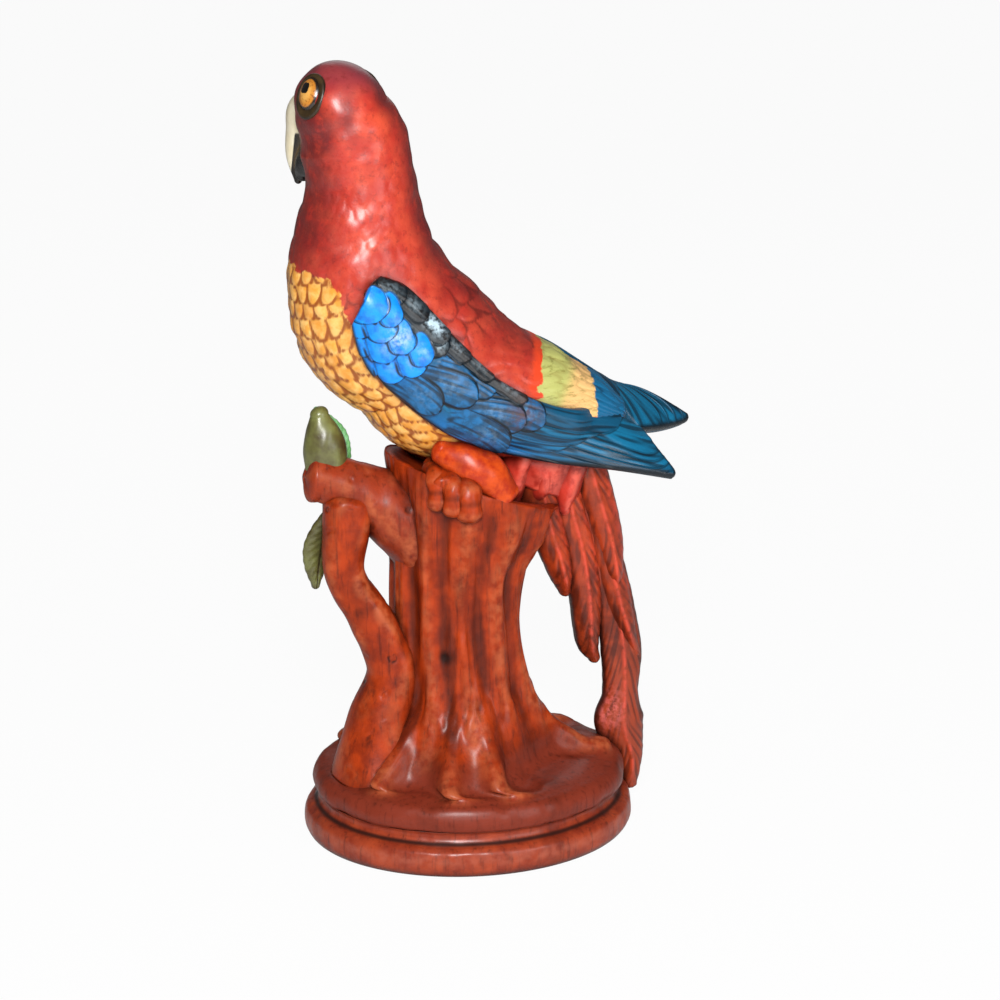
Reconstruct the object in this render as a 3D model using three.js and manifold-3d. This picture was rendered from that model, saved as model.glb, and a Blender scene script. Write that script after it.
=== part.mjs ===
import * as THREE from 'three';
import { mergeVertices } from 'three/addons/utils/BufferGeometryUtils.js';
import Module from 'manifold-3d';

const wasm = await Module();
wasm.setup();

// A painted ceramic parrot on a tree stump. Millimetres, +Z up. The bird's breast is toward -X and
// its left side toward -Y. Sizes are measured from the middle of the plinth's underside, and the
// finished figure is then set with the middle of its outline over the origin, on the table.

// Gap between neighbouring castings
const clearance = 0.3;
// Finest detail kept where castings are trimmed
const trimTolerance = 0.1;
// Corners closer than this are one
const mergeTolerance = 1e-3;

// Oval plinth
const plinthLength = 164;
const plinthWidth = 142;
const plinthHeight = 21;
const plinthWall = 17;
const rimHeight = 14;
const footInset = 3;
const coveInset = 8;

// Ground mound with its rounded lip
const groundLength = 156;
const groundX = 0.5;
const groundWidth = 136;
const lipHeight = 12;
const moundRise = 6;

// Trunk, whose waist stands off the middle of the plinth
const trunkHeight = 138;
const trunkFootLength = 96;
const trunkFootWidth = 86;
const waistLength = 62;
const waistWidth = 59;
const waistX = -5.5;
const rimLength = 84;
const rimWidth = 72;
const rimX = 2;
const rimSlope = 0.36;
const dishDepth = 2;
const fluteDepth = 1.6;
const fluteCount = 11;
const rootReach = 15;
const rootHeadings = [32, 88, 146, 219, 254, 278, 348];
const rootAngle = 12;
const rootSpread = 0.45;
const saddleRise = 4;
const saddleHeading = -3;
const saddleAngle = 22;
const burlHeight = 62;
const burlHeading = 256;
const burlRise = 3;

// Hollow inside the mound and the trunk, open underneath
const hollowLength = 116;
const boreLength = 34;
const boreHeight = 106;

// Side shoot and branch stub
const shootRadius = 11.5;
const shootRootRadius = 17;
const shootY = -7;
const stubRadius = 11.5;
const stubRootRadius = 20;
const stubReach = 70;

// Leaves
const leafThickness = 3.2;
const budHeight = 25;
const budWidth = 20.5;
const paleLeafHeight = 20;
const paleLeafWidth = 13;
const lowerLeafLength = 38;
const lowerLeafWidth = 17;

// Bird's body, rump to crown: x, height above the perch, half width and half depth
const bodyRows = [
  [71, 26, 12, 11],
  [57, 32, 19, 18],
  [38, 36.5, 25, 26.5],
  [14, 43, 30, 33.5],
  [-9, 51, 33, 40.5],
  [-23, 66, 34, 40.3],
  [-40.5, 81.5, 33.5, 41.5],
  [-48.5, 104.5, 32, 37.4],
  [-50.2, 122, 29, 31.5],
  [-50, 137, 26, 27.4],
  [-50.6, 150, 24.5, 25.4],
  [-53.2, 165.5, 24.2, 25],
  [-58, 177.5, 23.6, 21.5],
];
const crownHeight = 25;

// Head turned aside from the line of the body
const headTurn = 56;
const headX = -59;
const headHeight = 172;

// Beak, measured from the middle of the head
const beakReach = 31;
const beakWidth = 22;
const beakHook = 28;
const lowerBeakReach = 26;
const lowerBeakDrop = 26;

// Eyes, sunk in the sides of the crown, and the lids round them
const eyeRadius = 6.5;
const eyeDepth = 4.5;
const eyeRise = 11;
const eyeSink = 2.3;
const eyeTilt = 24;
const eyeLean = 4;
const lidWidth = 2.8;
const lidStep = 0.9;

// Wings: x, least half span and height of the lower and upper edges, shoulder to tip
const wingLower = [
  [-62, 20, 88],
  [-57, 20, 70],
  [-38.5, 20, 47],
  [-6, 20, 24],
  [32, 24, 13],
  [69, 25, 7],
  [100, 22, 0],
];
const wingUpper = [
  [-52, 20, 111],
  [-36, 20, 104.5],
  [-15, 20, 81],
  [8, 20, 57],
  [36, 14, 41.5],
  [66, 6, 34],
  [92, 3, 16],
];
const wingStand = 3;
const wingSwell = 4;
const shoulderThickness = 9;
const tipThickness = 5;
const farReach = 24;
const farRise = 5;
const farCrest = 15;
const farLift = 16;
const wingFeathers = 5;
const featherRise = 1.6;
const wingBreadth = 40;
const wingStep = 0.02;

// Feather tiers, shoulder to tip: where a tier's tips end along the wing, how far they reach past
// the notches between them, its shift by part of a feather, and its stations
const wingTiers = [
  { end: 0.27, tips: 0.07, shift: 0.5, steps: 2 },
  { end: 0.58, tips: 0.07, shift: 0, steps: 3 },
  { end: 1, tips: 0.05, shift: 0.5, steps: 4 },
];

// Legs and feet
const thighRadius = 11;
const thighY = 25;
const toeRadius = 5.4;
const toeSpacing = 7;
const toeCount = 3;
const toeStart = -22;

// Tail
const longFeatherThickness = 12;
const featherWrap = 2.4;
const footThickness = 17;
const rootRise = 10;
const tailSweep = 4;
const covertLobes = 3;
const covertLength = 40;

// Levels of the stack, table upward
const groundZ = plinthHeight + clearance;
const moundZ = groundZ + lipHeight + moundRise;
const perchZ = moundZ + trunkHeight;

// Room left round a casting where its neighbours are trimmed
const room = clearance + trimTolerance;

const degrees = Math.PI / 180;
const rimZ = (x) => perchZ - rimSlope * x;
const bump = (value, middle, width) => Math.exp(-(((value - middle) / width) ** 2));

function vector(row) {
  return new THREE.Vector3(row[0], row[1], row[2] ?? 0);
}

// Rows of up to six numbers, faired and read again at even steps.
function faired(rows, steps) {
  const wide = rows.map((row) => [...row, 0, 0, 0].slice(0, 6));
  const through = (points) => new THREE.CatmullRomCurve3(points, false, 'catmullrom', 0.5);
  const first = through(wide.map((row) => vector(row)));
  const second = through(wide.map((row) => vector(row.slice(3))));
  const out = [];
  for (let i = 0; i <= steps; i++) {
    out.push([...first.getPoint(i / steps).toArray(), ...second.getPoint(i / steps).toArray()]);
  }
  return out;
}

// A closed skin over rings of equal count, facing out. Its ends are fans, or where the rings are
// the two faces of a slab, strips from face to face.
function skin(rings, slab = false) {
  const sides = rings[0].length;
  const points = rings.flat();
  const faces = [];
  for (let i = 0; i + 1 < rings.length; i++) {
    for (let j = 0; j < sides; j++) {
      const a = i * sides + j;
      const b = i * sides + ((j + 1) % sides);
      faces.push(a, b, b + sides, a, b + sides, a + sides);
    }
  }
  const last = (rings.length - 1) * sides;
  for (const [ring, start] of [[rings[0], 0], [rings[rings.length - 1], last]]) {
    if (slab) {
      for (let j = 0; j + 1 < sides / 2; j++) {
        const [a, b] = [start + j, start + j + 1];
        const [c, d] = [start + sides - 2 - j, start + sides - 1 - j];
        faces.push(...(start === 0 ? [b, a, c, c, a, d] : [a, b, c, a, c, d]));
      }
      continue;
    }
    const middle = ring.reduce((sum, p) => sum.add(p), new THREE.Vector3()).divideScalar(sides);
    points.push(middle);
    for (let j = 0; j < sides; j++) {
      const a = start + j;
      const b = start + ((j + 1) % sides);
      faces.push(...(start === 0 ? [b, a] : [a, b]), points.length - 1);
    }
  }
  let volume = 0;
  for (let i = 0; i < faces.length; i += 3) {
    const [a, b, c] = [points[faces[i]], points[faces[i + 1]], points[faces[i + 2]]];
    volume += a.dot(b.clone().cross(c));
  }
  const geometry = new THREE.BufferGeometry().setFromPoints(points);
  geometry.setIndex(volume < 0 ? faces.reverse() : faces);
  return geometry;
}

// A limb along a line of rows: x, y, z, half width and half depth, with rounded or flat ends.
// The width lies along the direction `across`.
function limb(rows, options) {
  const { steps, sides, across = [0, 1, 0], capStart = 0, capEnd = 0, grow = 0 } = options;
  const stations = faired(rows, steps);
  const centres = stations.map((row) => vector(row));
  const widthLine = vector(across);
  const frames = centres.map((centre, i) => {
    const along = centres[Math.min(i + 1, steps)].clone().sub(centres[Math.max(i - 1, 0)]).normalize();
    const side = widthLine.clone().addScaledVector(along, -widthLine.dot(along)).normalize();
    return { centre, along, side, up: side.clone().cross(along), a: stations[i][3], b: stations[i][4] };
  });
  const ring = (frame, shift, scale) => {
    const middle = frame.centre.clone().addScaledVector(frame.along, shift);
    return Array.from({ length: sides }, (_, j) => {
      const angle = (2 * Math.PI * j) / sides;
      const wide = (frame.a + grow) * scale * Math.cos(angle);
      const tall = (frame.b + grow) * scale * Math.sin(angle);
      return middle.clone().addScaledVector(frame.side, wide).addScaledVector(frame.up, tall);
    });
  };
  const dome = (frame, cap, way) => {
    const reach = cap + grow;
    const count = cap > 0 ? Math.max(2, Math.round(reach / 6)) : 0;
    const angles = Array.from({ length: count }, (_, i) => ((90 * (i + 0.75)) / (count + 0.5)) * degrees);
    return angles.map((angle) => ring(frame, way * reach * Math.cos(angle), Math.sin(angle)));
  };
  const rings = frames.map((frame, i) => {
    const flat = (i === 0 && capStart === 0) || (i === steps && capEnd === 0);
    return ring(frame, flat ? (i === 0 ? -grow : grow) : 0, 1);
  });
  const start = dome(frames[0], capStart, -1);
  const end = dome(frames[steps], capEnd, 1).reverse();
  return skin([...start, ...rings, ...end]);
}

// three.js geometry to a solid and back
function solid(geometry) {
  const bare = geometry.clone();
  bare.deleteAttribute('normal');
  bare.deleteAttribute('uv');
  const merged = mergeVertices(bare, mergeTolerance);
  const mesh = new wasm.Mesh({
    numProp: 3,
    vertProperties: new Float32Array(merged.attributes.position.array),
    triVerts: new Uint32Array(merged.index.array),
  });
  return new wasm.Manifold(mesh);
}

function surface(body) {
  const mesh = body.getMesh();
  const geometry = new THREE.BufferGeometry();
  geometry.setAttribute('position', new THREE.BufferAttribute(new Float32Array(mesh.vertProperties), 3));
  geometry.setIndex(Array.from(mesh.triVerts));
  return geometry;
}

const joined = (bodies) => bodies.reduce((sum, body) => sum.add(body));

// A casting trimmed to its neighbours, less the offcuts and slivers that the trimming leaves. Its
// corners are merged once more, so that no sliver of it pinches off.
function trimmed(body, neighbours) {
  const largest = (parts) => parts.sort((p, q) => q.volume() - p.volume())[0];
  const cut = neighbours.reduce((rest, neighbour) => rest.subtract(neighbour), body);
  const plain = largest(cut.decompose()).simplify(trimTolerance);
  return largest(solid(surface(plain)).decompose());
}

// Oval plinth: a ring with a rounded rim, a cove above it and a flat foot.
function plinth(grow = 0) {
  const outer = plinthLength / 2 + grow;
  const inner = plinthLength / 2 - plinthWall;
  const cove = outer - coveInset;
  const top = plinthHeight + grow;
  const profile = [
    [inner, 0],
    [outer - footInset, 0],
    [outer - footInset * 0.25, rimHeight * 0.25],
    [outer, rimHeight * 0.55],
    [outer - footInset * 0.35, rimHeight * 0.85],
    [outer - footInset, rimHeight],
    [cove + 1, rimHeight + (top - rimHeight) * 0.35],
    [cove, rimHeight + (top - rimHeight) * 0.7],
    [cove + 0.6, top],
    [inner, top],
    [inner, 0],
  ];
  const geometry = new THREE.LatheGeometry(profile.map((p) => new THREE.Vector2(p[0], p[1])), 34);
  geometry.rotateX(Math.PI / 2);
  geometry.scale(1, plinthWidth / plinthLength, 1);
  return solid(geometry);
}

// Tree stump: lip, mound, roots, fluted trunk and dished rim as one turned loft.
function treeStump(grow = 0) {
  const sides = 36;
  const ground = [
    [0.95, 0, 0, 0],
    [0.99, lipHeight * 0.2, 0, 0],
    [1, lipHeight * 0.5, 0, 0],
    [0.975, lipHeight * 0.85, 0, 0],
    [0.91, lipHeight + moundRise * 0.1, 0, 0.4],
    [0.8, lipHeight + moundRise * 0.45, rootSpread, 1],
  ];
  const trunk = faired([
    [0, waistX, trunkFootLength / 2, trunkFootWidth / 2],
    [0.14, waistX * 0.8, waistLength * 0.64, waistWidth * 0.6],
    [0.28, waistX * 0.85, waistLength * 0.53, waistWidth * 0.52],
    [0.5, waistX, waistLength / 2, waistWidth / 2],
    [0.7, waistX * 0.9, waistLength * 0.52, waistWidth * 0.53],
    [0.86, rimX * -0.25, rimLength * 0.455, rimWidth * 0.48],
    [1, rimX, rimLength / 2, rimWidth / 2],
  ], 11);
  const rings = [];
  const lobe = (angle, heading, width) => {
    return bump(Math.atan2(Math.sin(angle - heading), Math.cos(angle - heading)), 0, width);
  };
  const put = (x, a, b, z, relief, slope, saddle = 0) => {
    rings.push(Array.from({ length: sides }, (_, j) => {
      const angle = (2 * Math.PI * j) / sides;
      const swell = relief(angle);
      const px = x + (a + grow + swell) * Math.cos(angle);
      const lift = saddle * saddleRise * lobe(angle, saddleHeading * degrees, saddleAngle * degrees);
      return new THREE.Vector3(px, (b + grow + swell) * Math.sin(angle), z + lift - slope * px);
    }));
  };
  const rootWidth = rootAngle * degrees + (2 * grow) / trunkFootWidth;
  const roots = (angle) => {
    return rootReach * rootHeadings.reduce((sum, way) => sum + lobe(angle, way * degrees, rootWidth), 0);
  };
  const smooth = () => 0;
  ground.forEach(([scale, height, share, saddle], i) => {
    const level = groundZ + height + (i > 0 ? grow : -grow);
    const [a, b] = [(groundLength / 2) * scale, (groundWidth / 2) * scale];
    put(groundX, a, b, level, (angle) => share * roots(angle), 0, saddle);
  });
  for (const [t, x, a, b] of trunk) {
    const flutes = fluteDepth * Math.min(1, (1 - t) * 8) * Math.min(1, t * 6);
    const knot = burlRise * bump(t * trunkHeight, burlHeight, 11);
    const relief = (angle) => {
      const furrow = flutes * Math.sin(fluteCount * angle + 2.5 * t);
      return furrow + roots(angle) * Math.exp(-t * 9) + knot * lobe(angle, burlHeading * degrees, 0.3);
    };
    const tilt = rimSlope * THREE.MathUtils.smoothstep(t, 0.55, 1);
    const level = moundZ + t * trunkHeight + (t < 0.2 || t > 0.95 ? grow : 0);
    put(x, a, b, level, relief, tilt, Math.max(0, 1 - t * 8));
  }
  const lip = [[0.965, 1.4], [0.9, 1.8], [0.76, 0.6 - dishDepth / 2], [0.4, -dishDepth]];
  for (const [scale, rise] of lip) {
    put(rimX, (rimLength / 2) * scale, (rimWidth / 2) * scale, perchZ + rise + grow, smooth, rimSlope);
  }
  return solid(skin(rings));
}

// The hollow that opens under the mound and narrows up into the trunk.
function hollow() {
  const mouth = hollowLength / 2;
  const bore = boreLength / 2;
  const top = moundZ + boreHeight;
  const profile = [
    [0, groundZ - 1],
    [mouth, groundZ - 1],
    [mouth - 2, groundZ + 3],
    [mouth - 14, groundZ + lipHeight - 5],
    [bore + 12, moundZ - 6],
    [bore + 3, moundZ + 10],
    [bore, moundZ + 34],
    [bore, top - bore],
    [bore * 0.7, top - bore * 0.3],
    [0, top],
  ];
  const geometry = new THREE.LatheGeometry(profile.map((p) => new THREE.Vector2(p[0], p[1])), 16);
  geometry.rotateX(Math.PI / 2);
  geometry.scale(1, groundWidth / groundLength, 1);
  const lean = geometry.attributes.position;
  for (let i = 0; i < lean.count; i++) {
    const t = THREE.MathUtils.clamp((lean.getZ(i) - moundZ) / 20 + 1, 0, 1);
    lean.setX(i, lean.getX(i) + waistX * t);
  }
  return solid(geometry);
}

// Side shoot: rises from the roots and leans up under the stub.
function sideShoot(grow = 0) {
  const rows = [
    [-50, shootY, -0.06, shootRootRadius * 1.5, shootRootRadius * 1.2],
    [-46, shootY, 0.14, shootRootRadius * 1.05, shootRootRadius * 0.95],
    [-39, shootY, 0.34, shootRadius * 1.15, shootRadius * 1.15],
    [-49.5, shootY, 0.53, shootRadius * 0.9, shootRadius * 0.95],
    [-62, shootY, 0.7, shootRadius * 0.8, shootRadius * 0.85],
    [-61, shootY, 0.85, shootRadius * 1.05, shootRadius],
    [-60, shootY, 0.96, shootRadius * 1.08, shootRadius * 1.08],
  ].map(([x, y, t, a, b]) => [x, y, moundZ + t * trunkHeight, a, b]);
  return solid(limb(rows, { steps: 10, sides: 11, capEnd: shootRadius * 0.6, grow }));
}

// Branch stub: a short thick bough with a rounded saw cut.
function branchStub(grow = 0) {
  const rows = [
    [-12, 0, -38, stubRootRadius, stubRootRadius],
    [-36, shootY / 2, -13, stubRootRadius * 0.86, stubRootRadius * 0.88],
    [-52, shootY / 2, -2, stubRadius * 1.18, stubRadius * 1.22],
    [-stubReach, shootY / 2, 6, stubRadius, stubRadius],
    [-stubReach - 6, shootY / 2, 7, stubRadius, stubRadius],
  ].map(([x, y, h, a, b]) => [x, y, perchZ + h, a, b]);
  return solid(limb(rows, { steps: 8, sides: 14, capEnd: 4, grow }));
}

// A leaf or feather tip: a flat limb that swells and then narrows to a soft point.
function leaf(from, to, bow, width, options = {}) {
  const start = vector(from);
  const end = vector(to);
  const rows = [0, 0.25, 0.5, 0.75, 1].map((t) => {
    const middle = start.clone().lerp(end, t);
    middle.addScaledVector(vector(bow), Math.sin(Math.PI * t));
    const swell = [0.62, 0.92, 1, 0.72, 0.24][t * 4];
    return [...middle.toArray(), (width / 2) * swell, leafThickness * (t < 1 ? 1 : 0.6)];
  });
  return solid(limb(rows, { steps: 7, sides: 10, capEnd: 2, ...options }));
}

const stubTop = [-stubReach + 1, shootY / 2 + 1, perchZ + 6 + stubRadius];

function bud(grow = 0) {
  const [x, y, z] = stubTop;
  const rows = [
    [x, y, z - 6, budWidth / 2, budWidth * 0.42],
    [x - 1, y, z + budHeight * 0.2, budWidth * 0.49, budWidth * 0.4],
    [x - 2, y, z + budHeight * 0.5, budWidth * 0.38, budWidth * 0.33],
    [x - 3, y, z + budHeight * 0.78, budWidth * 0.22, budWidth * 0.2],
  ];
  return solid(limb(rows, { steps: 6, sides: 12, across: [1, 0, 0], capEnd: 4, grow }));
}

function paleLeaf() {
  const [x, y, z] = stubTop;
  return leaf([x + 9, y + 5, z - 5], [x - 3, y + 6, z + paleLeafHeight], [1.5, 2, 0], paleLeafWidth, {
    across: [1, -0.2, 0],
  });
}

function lowerLeaf() {
  const top = perchZ - 12;
  return leaf([-64, 3, top], [-74, 6, top - lowerLeafLength], [-3, 2, 0], lowerLeafWidth, {
    across: [1, 0.35, 0],
  });
}

// Bird's body: torso, neck and head in one faired loft, fuller under the belly.
function birdBody(grow = 0) {
  const rows = bodyRows.map(([x, h, a, b]) => [x, 0, perchZ + h, a, b]);
  return solid(limb(rows, { steps: 21, sides: 20, capStart: 6, capEnd: crownHeight, grow }));
}

// Head pieces are made looking along -X about the head's middle, then turned with the head.
function onHead(geometry) {
  return solid(geometry.rotateZ(-headTurn * degrees).translate(headX, 0, perchZ + headHeight));
}

function upperBeak(grow = 0) {
  const half = beakWidth / 2;
  const rows = [
    [-10, 0, 3, half, 13],
    [-20, 0, 3, half * 0.92, 12],
    [-beakReach * 0.82, 0, -5, half * 0.68, 8.5],
    [-beakReach * 0.96, 0, -beakHook * 0.6, half * 0.42, 5],
    [-beakReach * 0.93, 0, -beakHook, half * 0.16, 2],
  ];
  return onHead(limb(rows, { steps: 9, sides: 12, capEnd: 2, grow }));
}

function lowerBeak(grow = 0) {
  const half = beakWidth / 2;
  const rows = [
    [-12, 0, -12, half * 0.8, 8],
    [-lowerBeakReach * 0.68, 0, -16, half * 0.72, 8],
    [-lowerBeakReach * 0.92, 0, -lowerBeakDrop * 0.85, half * 0.5, 5],
    [-lowerBeakReach, 0, -lowerBeakDrop, half * 0.3, 3],
  ];
  return onHead(limb(rows, { steps: 6, sides: 12, capEnd: 2, grow }));
}

// Level section of the crown, an ellipsoid that leans with the neck: the x of its middle, and its
// reach from there toward the side of the turned head.
function crownSection(rise) {
  const [below, [x, h, halfWidth, halfDepth]] = bodyRows.slice(-2);
  const lean = Math.atan2(below[0] - x, h - below[1]);
  const span = Math.hypot(crownHeight * Math.cos(lean), halfDepth * Math.sin(lean));
  const share = Math.sqrt(1 - (rise / span) ** 2);
  const shift = (rise / span ** 2) * (crownHeight ** 2 - halfDepth ** 2) * 0.5 * Math.sin(2 * lean);
  const wide = Math.cos(headTurn * degrees) / halfWidth;
  const deep = (Math.sin(headTurn * degrees) * span) / (crownHeight * halfDepth);
  return { middle: x - shift, reach: share / Math.hypot(wide, deep), height: h + rise };
}

// An eyeball or the oval lid round it, sunk in the side of the crown.
function eye(side, radius, depth) {
  const { middle, reach, height } = crownSection(eyeRise);
  const ball = new THREE.SphereGeometry(1, 12, 7).scale(radius, depth, radius * 1.3);
  ball.rotateX((side * eyeTilt + eyeLean) * degrees);
  ball.translate(0, side * (reach - eyeSink), 0);
  return solid(ball.rotateZ(-headTurn * degrees).translate(middle, 0, perchZ + height));
}

// Half width of the body at a point of its profile, nothing outside it.
const flankRows = faired(bodyRows, 48);

function flank(x, height) {
  const off = (row) => Math.hypot(row[0] - x, row[1] - height);
  const near = flankRows.reduce((best, row) => (off(row) < off(best) ? row : best));
  return near[2] * Math.sqrt(Math.max(0, 1 - (off(near) / near[3]) ** 2));
}

// Wing: a panel between its two edges that lies on the flank and swells outward. The feathers
// follow it, and past the rump it stands free.
function wingSurface(side) {
  const lower = new THREE.CatmullRomCurve3(wingLower.map((row) => vector(row)));
  const upper = new THREE.CatmullRomCurve3(wingUpper.map((row) => vector(row)));
  const far = side > 0 ? 1 : 0;
  return (u, v) => {
    const point = lower.getPoint(u).lerp(upper.getPoint(u), v);
    const free = point.y;
    const rest = flank(point.x, point.z) * (1 - THREE.MathUtils.smoothstep(u, 0.72, 0.86));
    const swell = wingSwell * Math.sin(Math.PI * THREE.MathUtils.clamp(v, 0, 1)) * (1 - 0.4 * u);
    const half = 0.5 * (free + rest + Math.hypot(free - rest, 3)) + wingStand + swell;
    point.x += far * farReach * u * (1 - 0.85 * v);
    point.y = side * half;
    const crest = farCrest * v * bump(u, 0.62, 0.27);
    const raised = (1 - v) * (farRise * THREE.MathUtils.smoothstep(u, 0, 1) + farLift * bump(u, 0.84, 0.18));
    point.z += perchZ + far * (crest + raised);
    return point;
  };
}

// A feather's outline across its width, from one notch over the rounded middle to the next.
function scallop(v, tier) {
  const part = (v * wingFeathers + tier.shift) % 1;
  return Math.sqrt(Math.max(0, 1 - (2 * part - 1) ** 2));
}

// Wing: tiers of overlapping feathers on one slab. Each tier rises from under the one before it
// and ends in a row of rounded tips.
function wing(side, grow = 0) {
  const point = wingSurface(side);
  const columns = wingFeathers * 4;
  const ringAt = (station) => {
    const outer = [];
    const inner = [];
    for (let j = 0; j <= columns; j++) {
      const v = THREE.MathUtils.lerp(-grow / wingBreadth, 1 + grow / wingBreadth, j / columns);
      const { u, rise, back } = station(j / columns);
      const from = THREE.MathUtils.clamp(u, wingStep, 1 - wingStep);
      const along = point(from + wingStep, v).sub(point(from - wingStep, v)).normalize();
      const over = point(from, v + wingStep).sub(point(from, v - wingStep)).normalize();
      const out = along.clone().cross(over).normalize().multiplyScalar(-side);
      const middle = Math.sin((Math.PI * j) / columns);
      const thick = THREE.MathUtils.lerp(shoulderThickness, tipThickness, u) * (0.5 + 0.5 * middle);
      const past = u >= 1 ? grow : u <= 0 ? -grow : 0;
      outer.push(point(u, v).addScaledVector(out, rise + grow).addScaledVector(along, past));
      inner.unshift(point(back, v).addScaledVector(out, -thick - grow).addScaledVector(along, past));
    }
    return [...outer, ...inner];
  };
  const tierEnd = (k, v) => {
    const tier = wingTiers[k];
    return tier ? tier.end - tier.tips * (1 - scallop(v, tier)) : 0;
  };
  const count = wingTiers.reduce((sum, tier) => sum + tier.steps + 1, 0);
  const rings = [];
  wingTiers.forEach((tier, k) => {
    for (let i = 0; i <= tier.steps; i++) {
      const back = rings.length / (count - 1);
      rings.push(ringAt((v) => {
        const u = THREE.MathUtils.lerp(tierEnd(k - 1, v), tierEnd(k, v), i / tier.steps);
        const rise = featherRise * (i / tier.steps + 0.5 * scallop(v, tier));
        return { u, rise, back: back * tierEnd(wingTiers.length - 1, v) };
      }));
    }
  });
  return solid(skin(rings, true));
}

function thigh(side, grow = 0) {
  const rows = [
    [-18, side * (thighY - 3), 22, thighRadius * 0.7, thighRadius * 0.75],
    [-8, side * thighY, 16, thighRadius, thighRadius * 0.95],
    [3, side * (thighY + 2), 9, thighRadius, thighRadius],
    [11, side * (thighY + 3), -1, thighRadius * 0.72, thighRadius * 0.7],
  ].map(([x, y, h, a, b]) => [x, y, perchZ + h, a, b]);
  return solid(limb(rows, { steps: 6, sides: 12, capStart: 5, capEnd: 5, grow }));
}

// Toes curl from one instep over the rim of the stump.
function foot(side, grow = 0) {
  const edge = (x) => (rimWidth / 2) * Math.sqrt(1 - ((x - rimX) / (rimLength / 2)) ** 2);
  const middle = toeStart + (toeSpacing * (toeCount - 1)) / 2;
  const instep = [[18, 5], [9, 4], [0, 1]].map(([back, h]) => {
    const y = side * (edge(middle) - back);
    return [middle, y, rimZ(middle) + h, (toeSpacing * toeCount) / 2, toeRadius];
  });
  const level = [1, 0, -rimSlope];
  const parts = [solid(limb(instep, { steps: 3, sides: 10, across: level, capStart: 4, capEnd: 3, grow }))];
  for (let k = 0; k < toeCount; k++) {
    const x = toeStart + toeSpacing * k;
    const radius = toeRadius * (0.85 + 0.13 * k);
    const rows = [[-10, 3], [-3, 3.5], [2, -2], [2, -9]].map(([out, h]) => {
      return [x, side * (edge(x) + out), rimZ(x) + h, radius, radius];
    });
    parts.push(solid(limb(rows, { steps: 3, sides: 8, across: [1, 0, 0], capStart: 3, capEnd: 4, grow })));
  }
  return joined(parts);
}

// Tail: feathers in a row behind one another, the shorter ones wrapped round the longer. A line
// runs from a feather's tip up to its root: x, height as a part of the trunk's, half width and
// thickness.
function tailFeather(line, grow, steps, sides) {
  const rows = line.map(([x, part, half, thickness]) => {
    const sweep = tailSweep * THREE.MathUtils.clamp(1 - part, 0, 1);
    return [x, sweep, moundZ + part * trunkHeight, half, thickness / 2];
  });
  return solid(limb(rows, { steps, sides, across: [1, 0, 0], capStart: 3, grow }));
}

function tailFeathers(grow = 0) {
  const thin = longFeatherThickness;
  const middle = thin + 2 * featherWrap;
  const outer = middle + 2 * featherWrap;
  const rootPart = 1 + rootRise / trunkHeight;
  const long = [
    [85, -0.22, 4, thin * 0.6],
    [84, -0.1, 7, thin],
    [79, 0.03, 13, footThickness],
    [79.5, 0.14, 9.5, thin * 1.15],
    [79, 0.3, 10.3, thin],
    [74.3, 0.51, 10, thin],
    [63.5, 0.77, 11, thin],
    [51, rootPart, 11, thin],
  ];
  const wrapped = (thickness, line) => {
    const rows = line.map((row, i) => [...row, thickness * (i > 0 ? 1 : 0.55)]);
    return tailFeather(rows, grow, 6, 8);
  };
  return [
    tailFeather(long, grow, 10, 10),
    wrapped(middle, [
      [86, 0.3, 2.5], [80, 0.41, 5.5], [75, 0.53, 7.5],
      [68.5, 0.72, 8], [64, 0.88, 8], [57, rootPart, 8],
    ]),
    wrapped(middle, [
      [63, 0.29, 2.5], [60.5, 0.36, 5], [60, 0.54, 8.5],
      [56, 0.72, 9.5], [50, 0.88, 9.5], [44, rootPart, 9.5],
    ]),
    wrapped(outer, [
      [74.5, 0.57, 2.5], [73, 0.63, 5.5], [70.5, 0.74, 8],
      [65, 0.88, 9], [57, rootPart, 9.5],
    ]),
    wrapped(outer, [
      [47, 0.56, 2.5], [46.5, 0.62, 5], [43.5, 0.72, 8],
      [39, 0.82, 9.5], [35, 0.95, 10], [33, rootPart, 10],
    ]),
  ];
}

// Coverts: a fan of lobes from under the rump over the roots of the tail feathers.
function tailCoverts(grow = 0) {
  const thick = longFeatherThickness / 2 + 3 * featherWrap;
  const root = [
    [33, -4, 20, thick * 0.9],
    [38, 8, 23, thick * 1.1],
    [46, 24, 20, thick],
  ].map(([x, h, a, b]) => [x, 0, perchZ + h, a, b]);
  const lobes = [solid(limb(root, { steps: 3, sides: 8, across: [1, 0, 0], capStart: 4, capEnd: 3, grow }))];
  for (let k = 0; k < covertLobes; k++) {
    const fan = k / (covertLobes - 1);
    const [x, h] = [21 + 26 * fan, 24 - covertLength * (0.86 + 0.14 * fan)];
    const rows = [
      [x, h, 5, thick * 0.7],
      [x + 1, h + covertLength * 0.25, 8, thick],
      [x + 4, h + covertLength * 0.6, 9, thick * 1.1],
    ].map(([px, ph, a, b]) => [px, 0, perchZ + ph, a, b]);
    lobes.push(solid(limb(rows, { steps: 3, sides: 7, across: [1, 0, 0], capStart: 5, capEnd: 3, grow })));
  }
  return joined(lobes);
}

// Castings, each trimmed to the ones that carry it
const stumpRoom = treeStump(room);
const stubRoom = branchStub(room);
const shootRoom = sideShoot(room);
const bodyRoom = birdBody(room);
const leftWingRoom = wing(-1, room);
const wingRooms = [leftWingRoom, wing(1, room)];
const thighRooms = [thigh(-1, room), thigh(1, room)];

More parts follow.
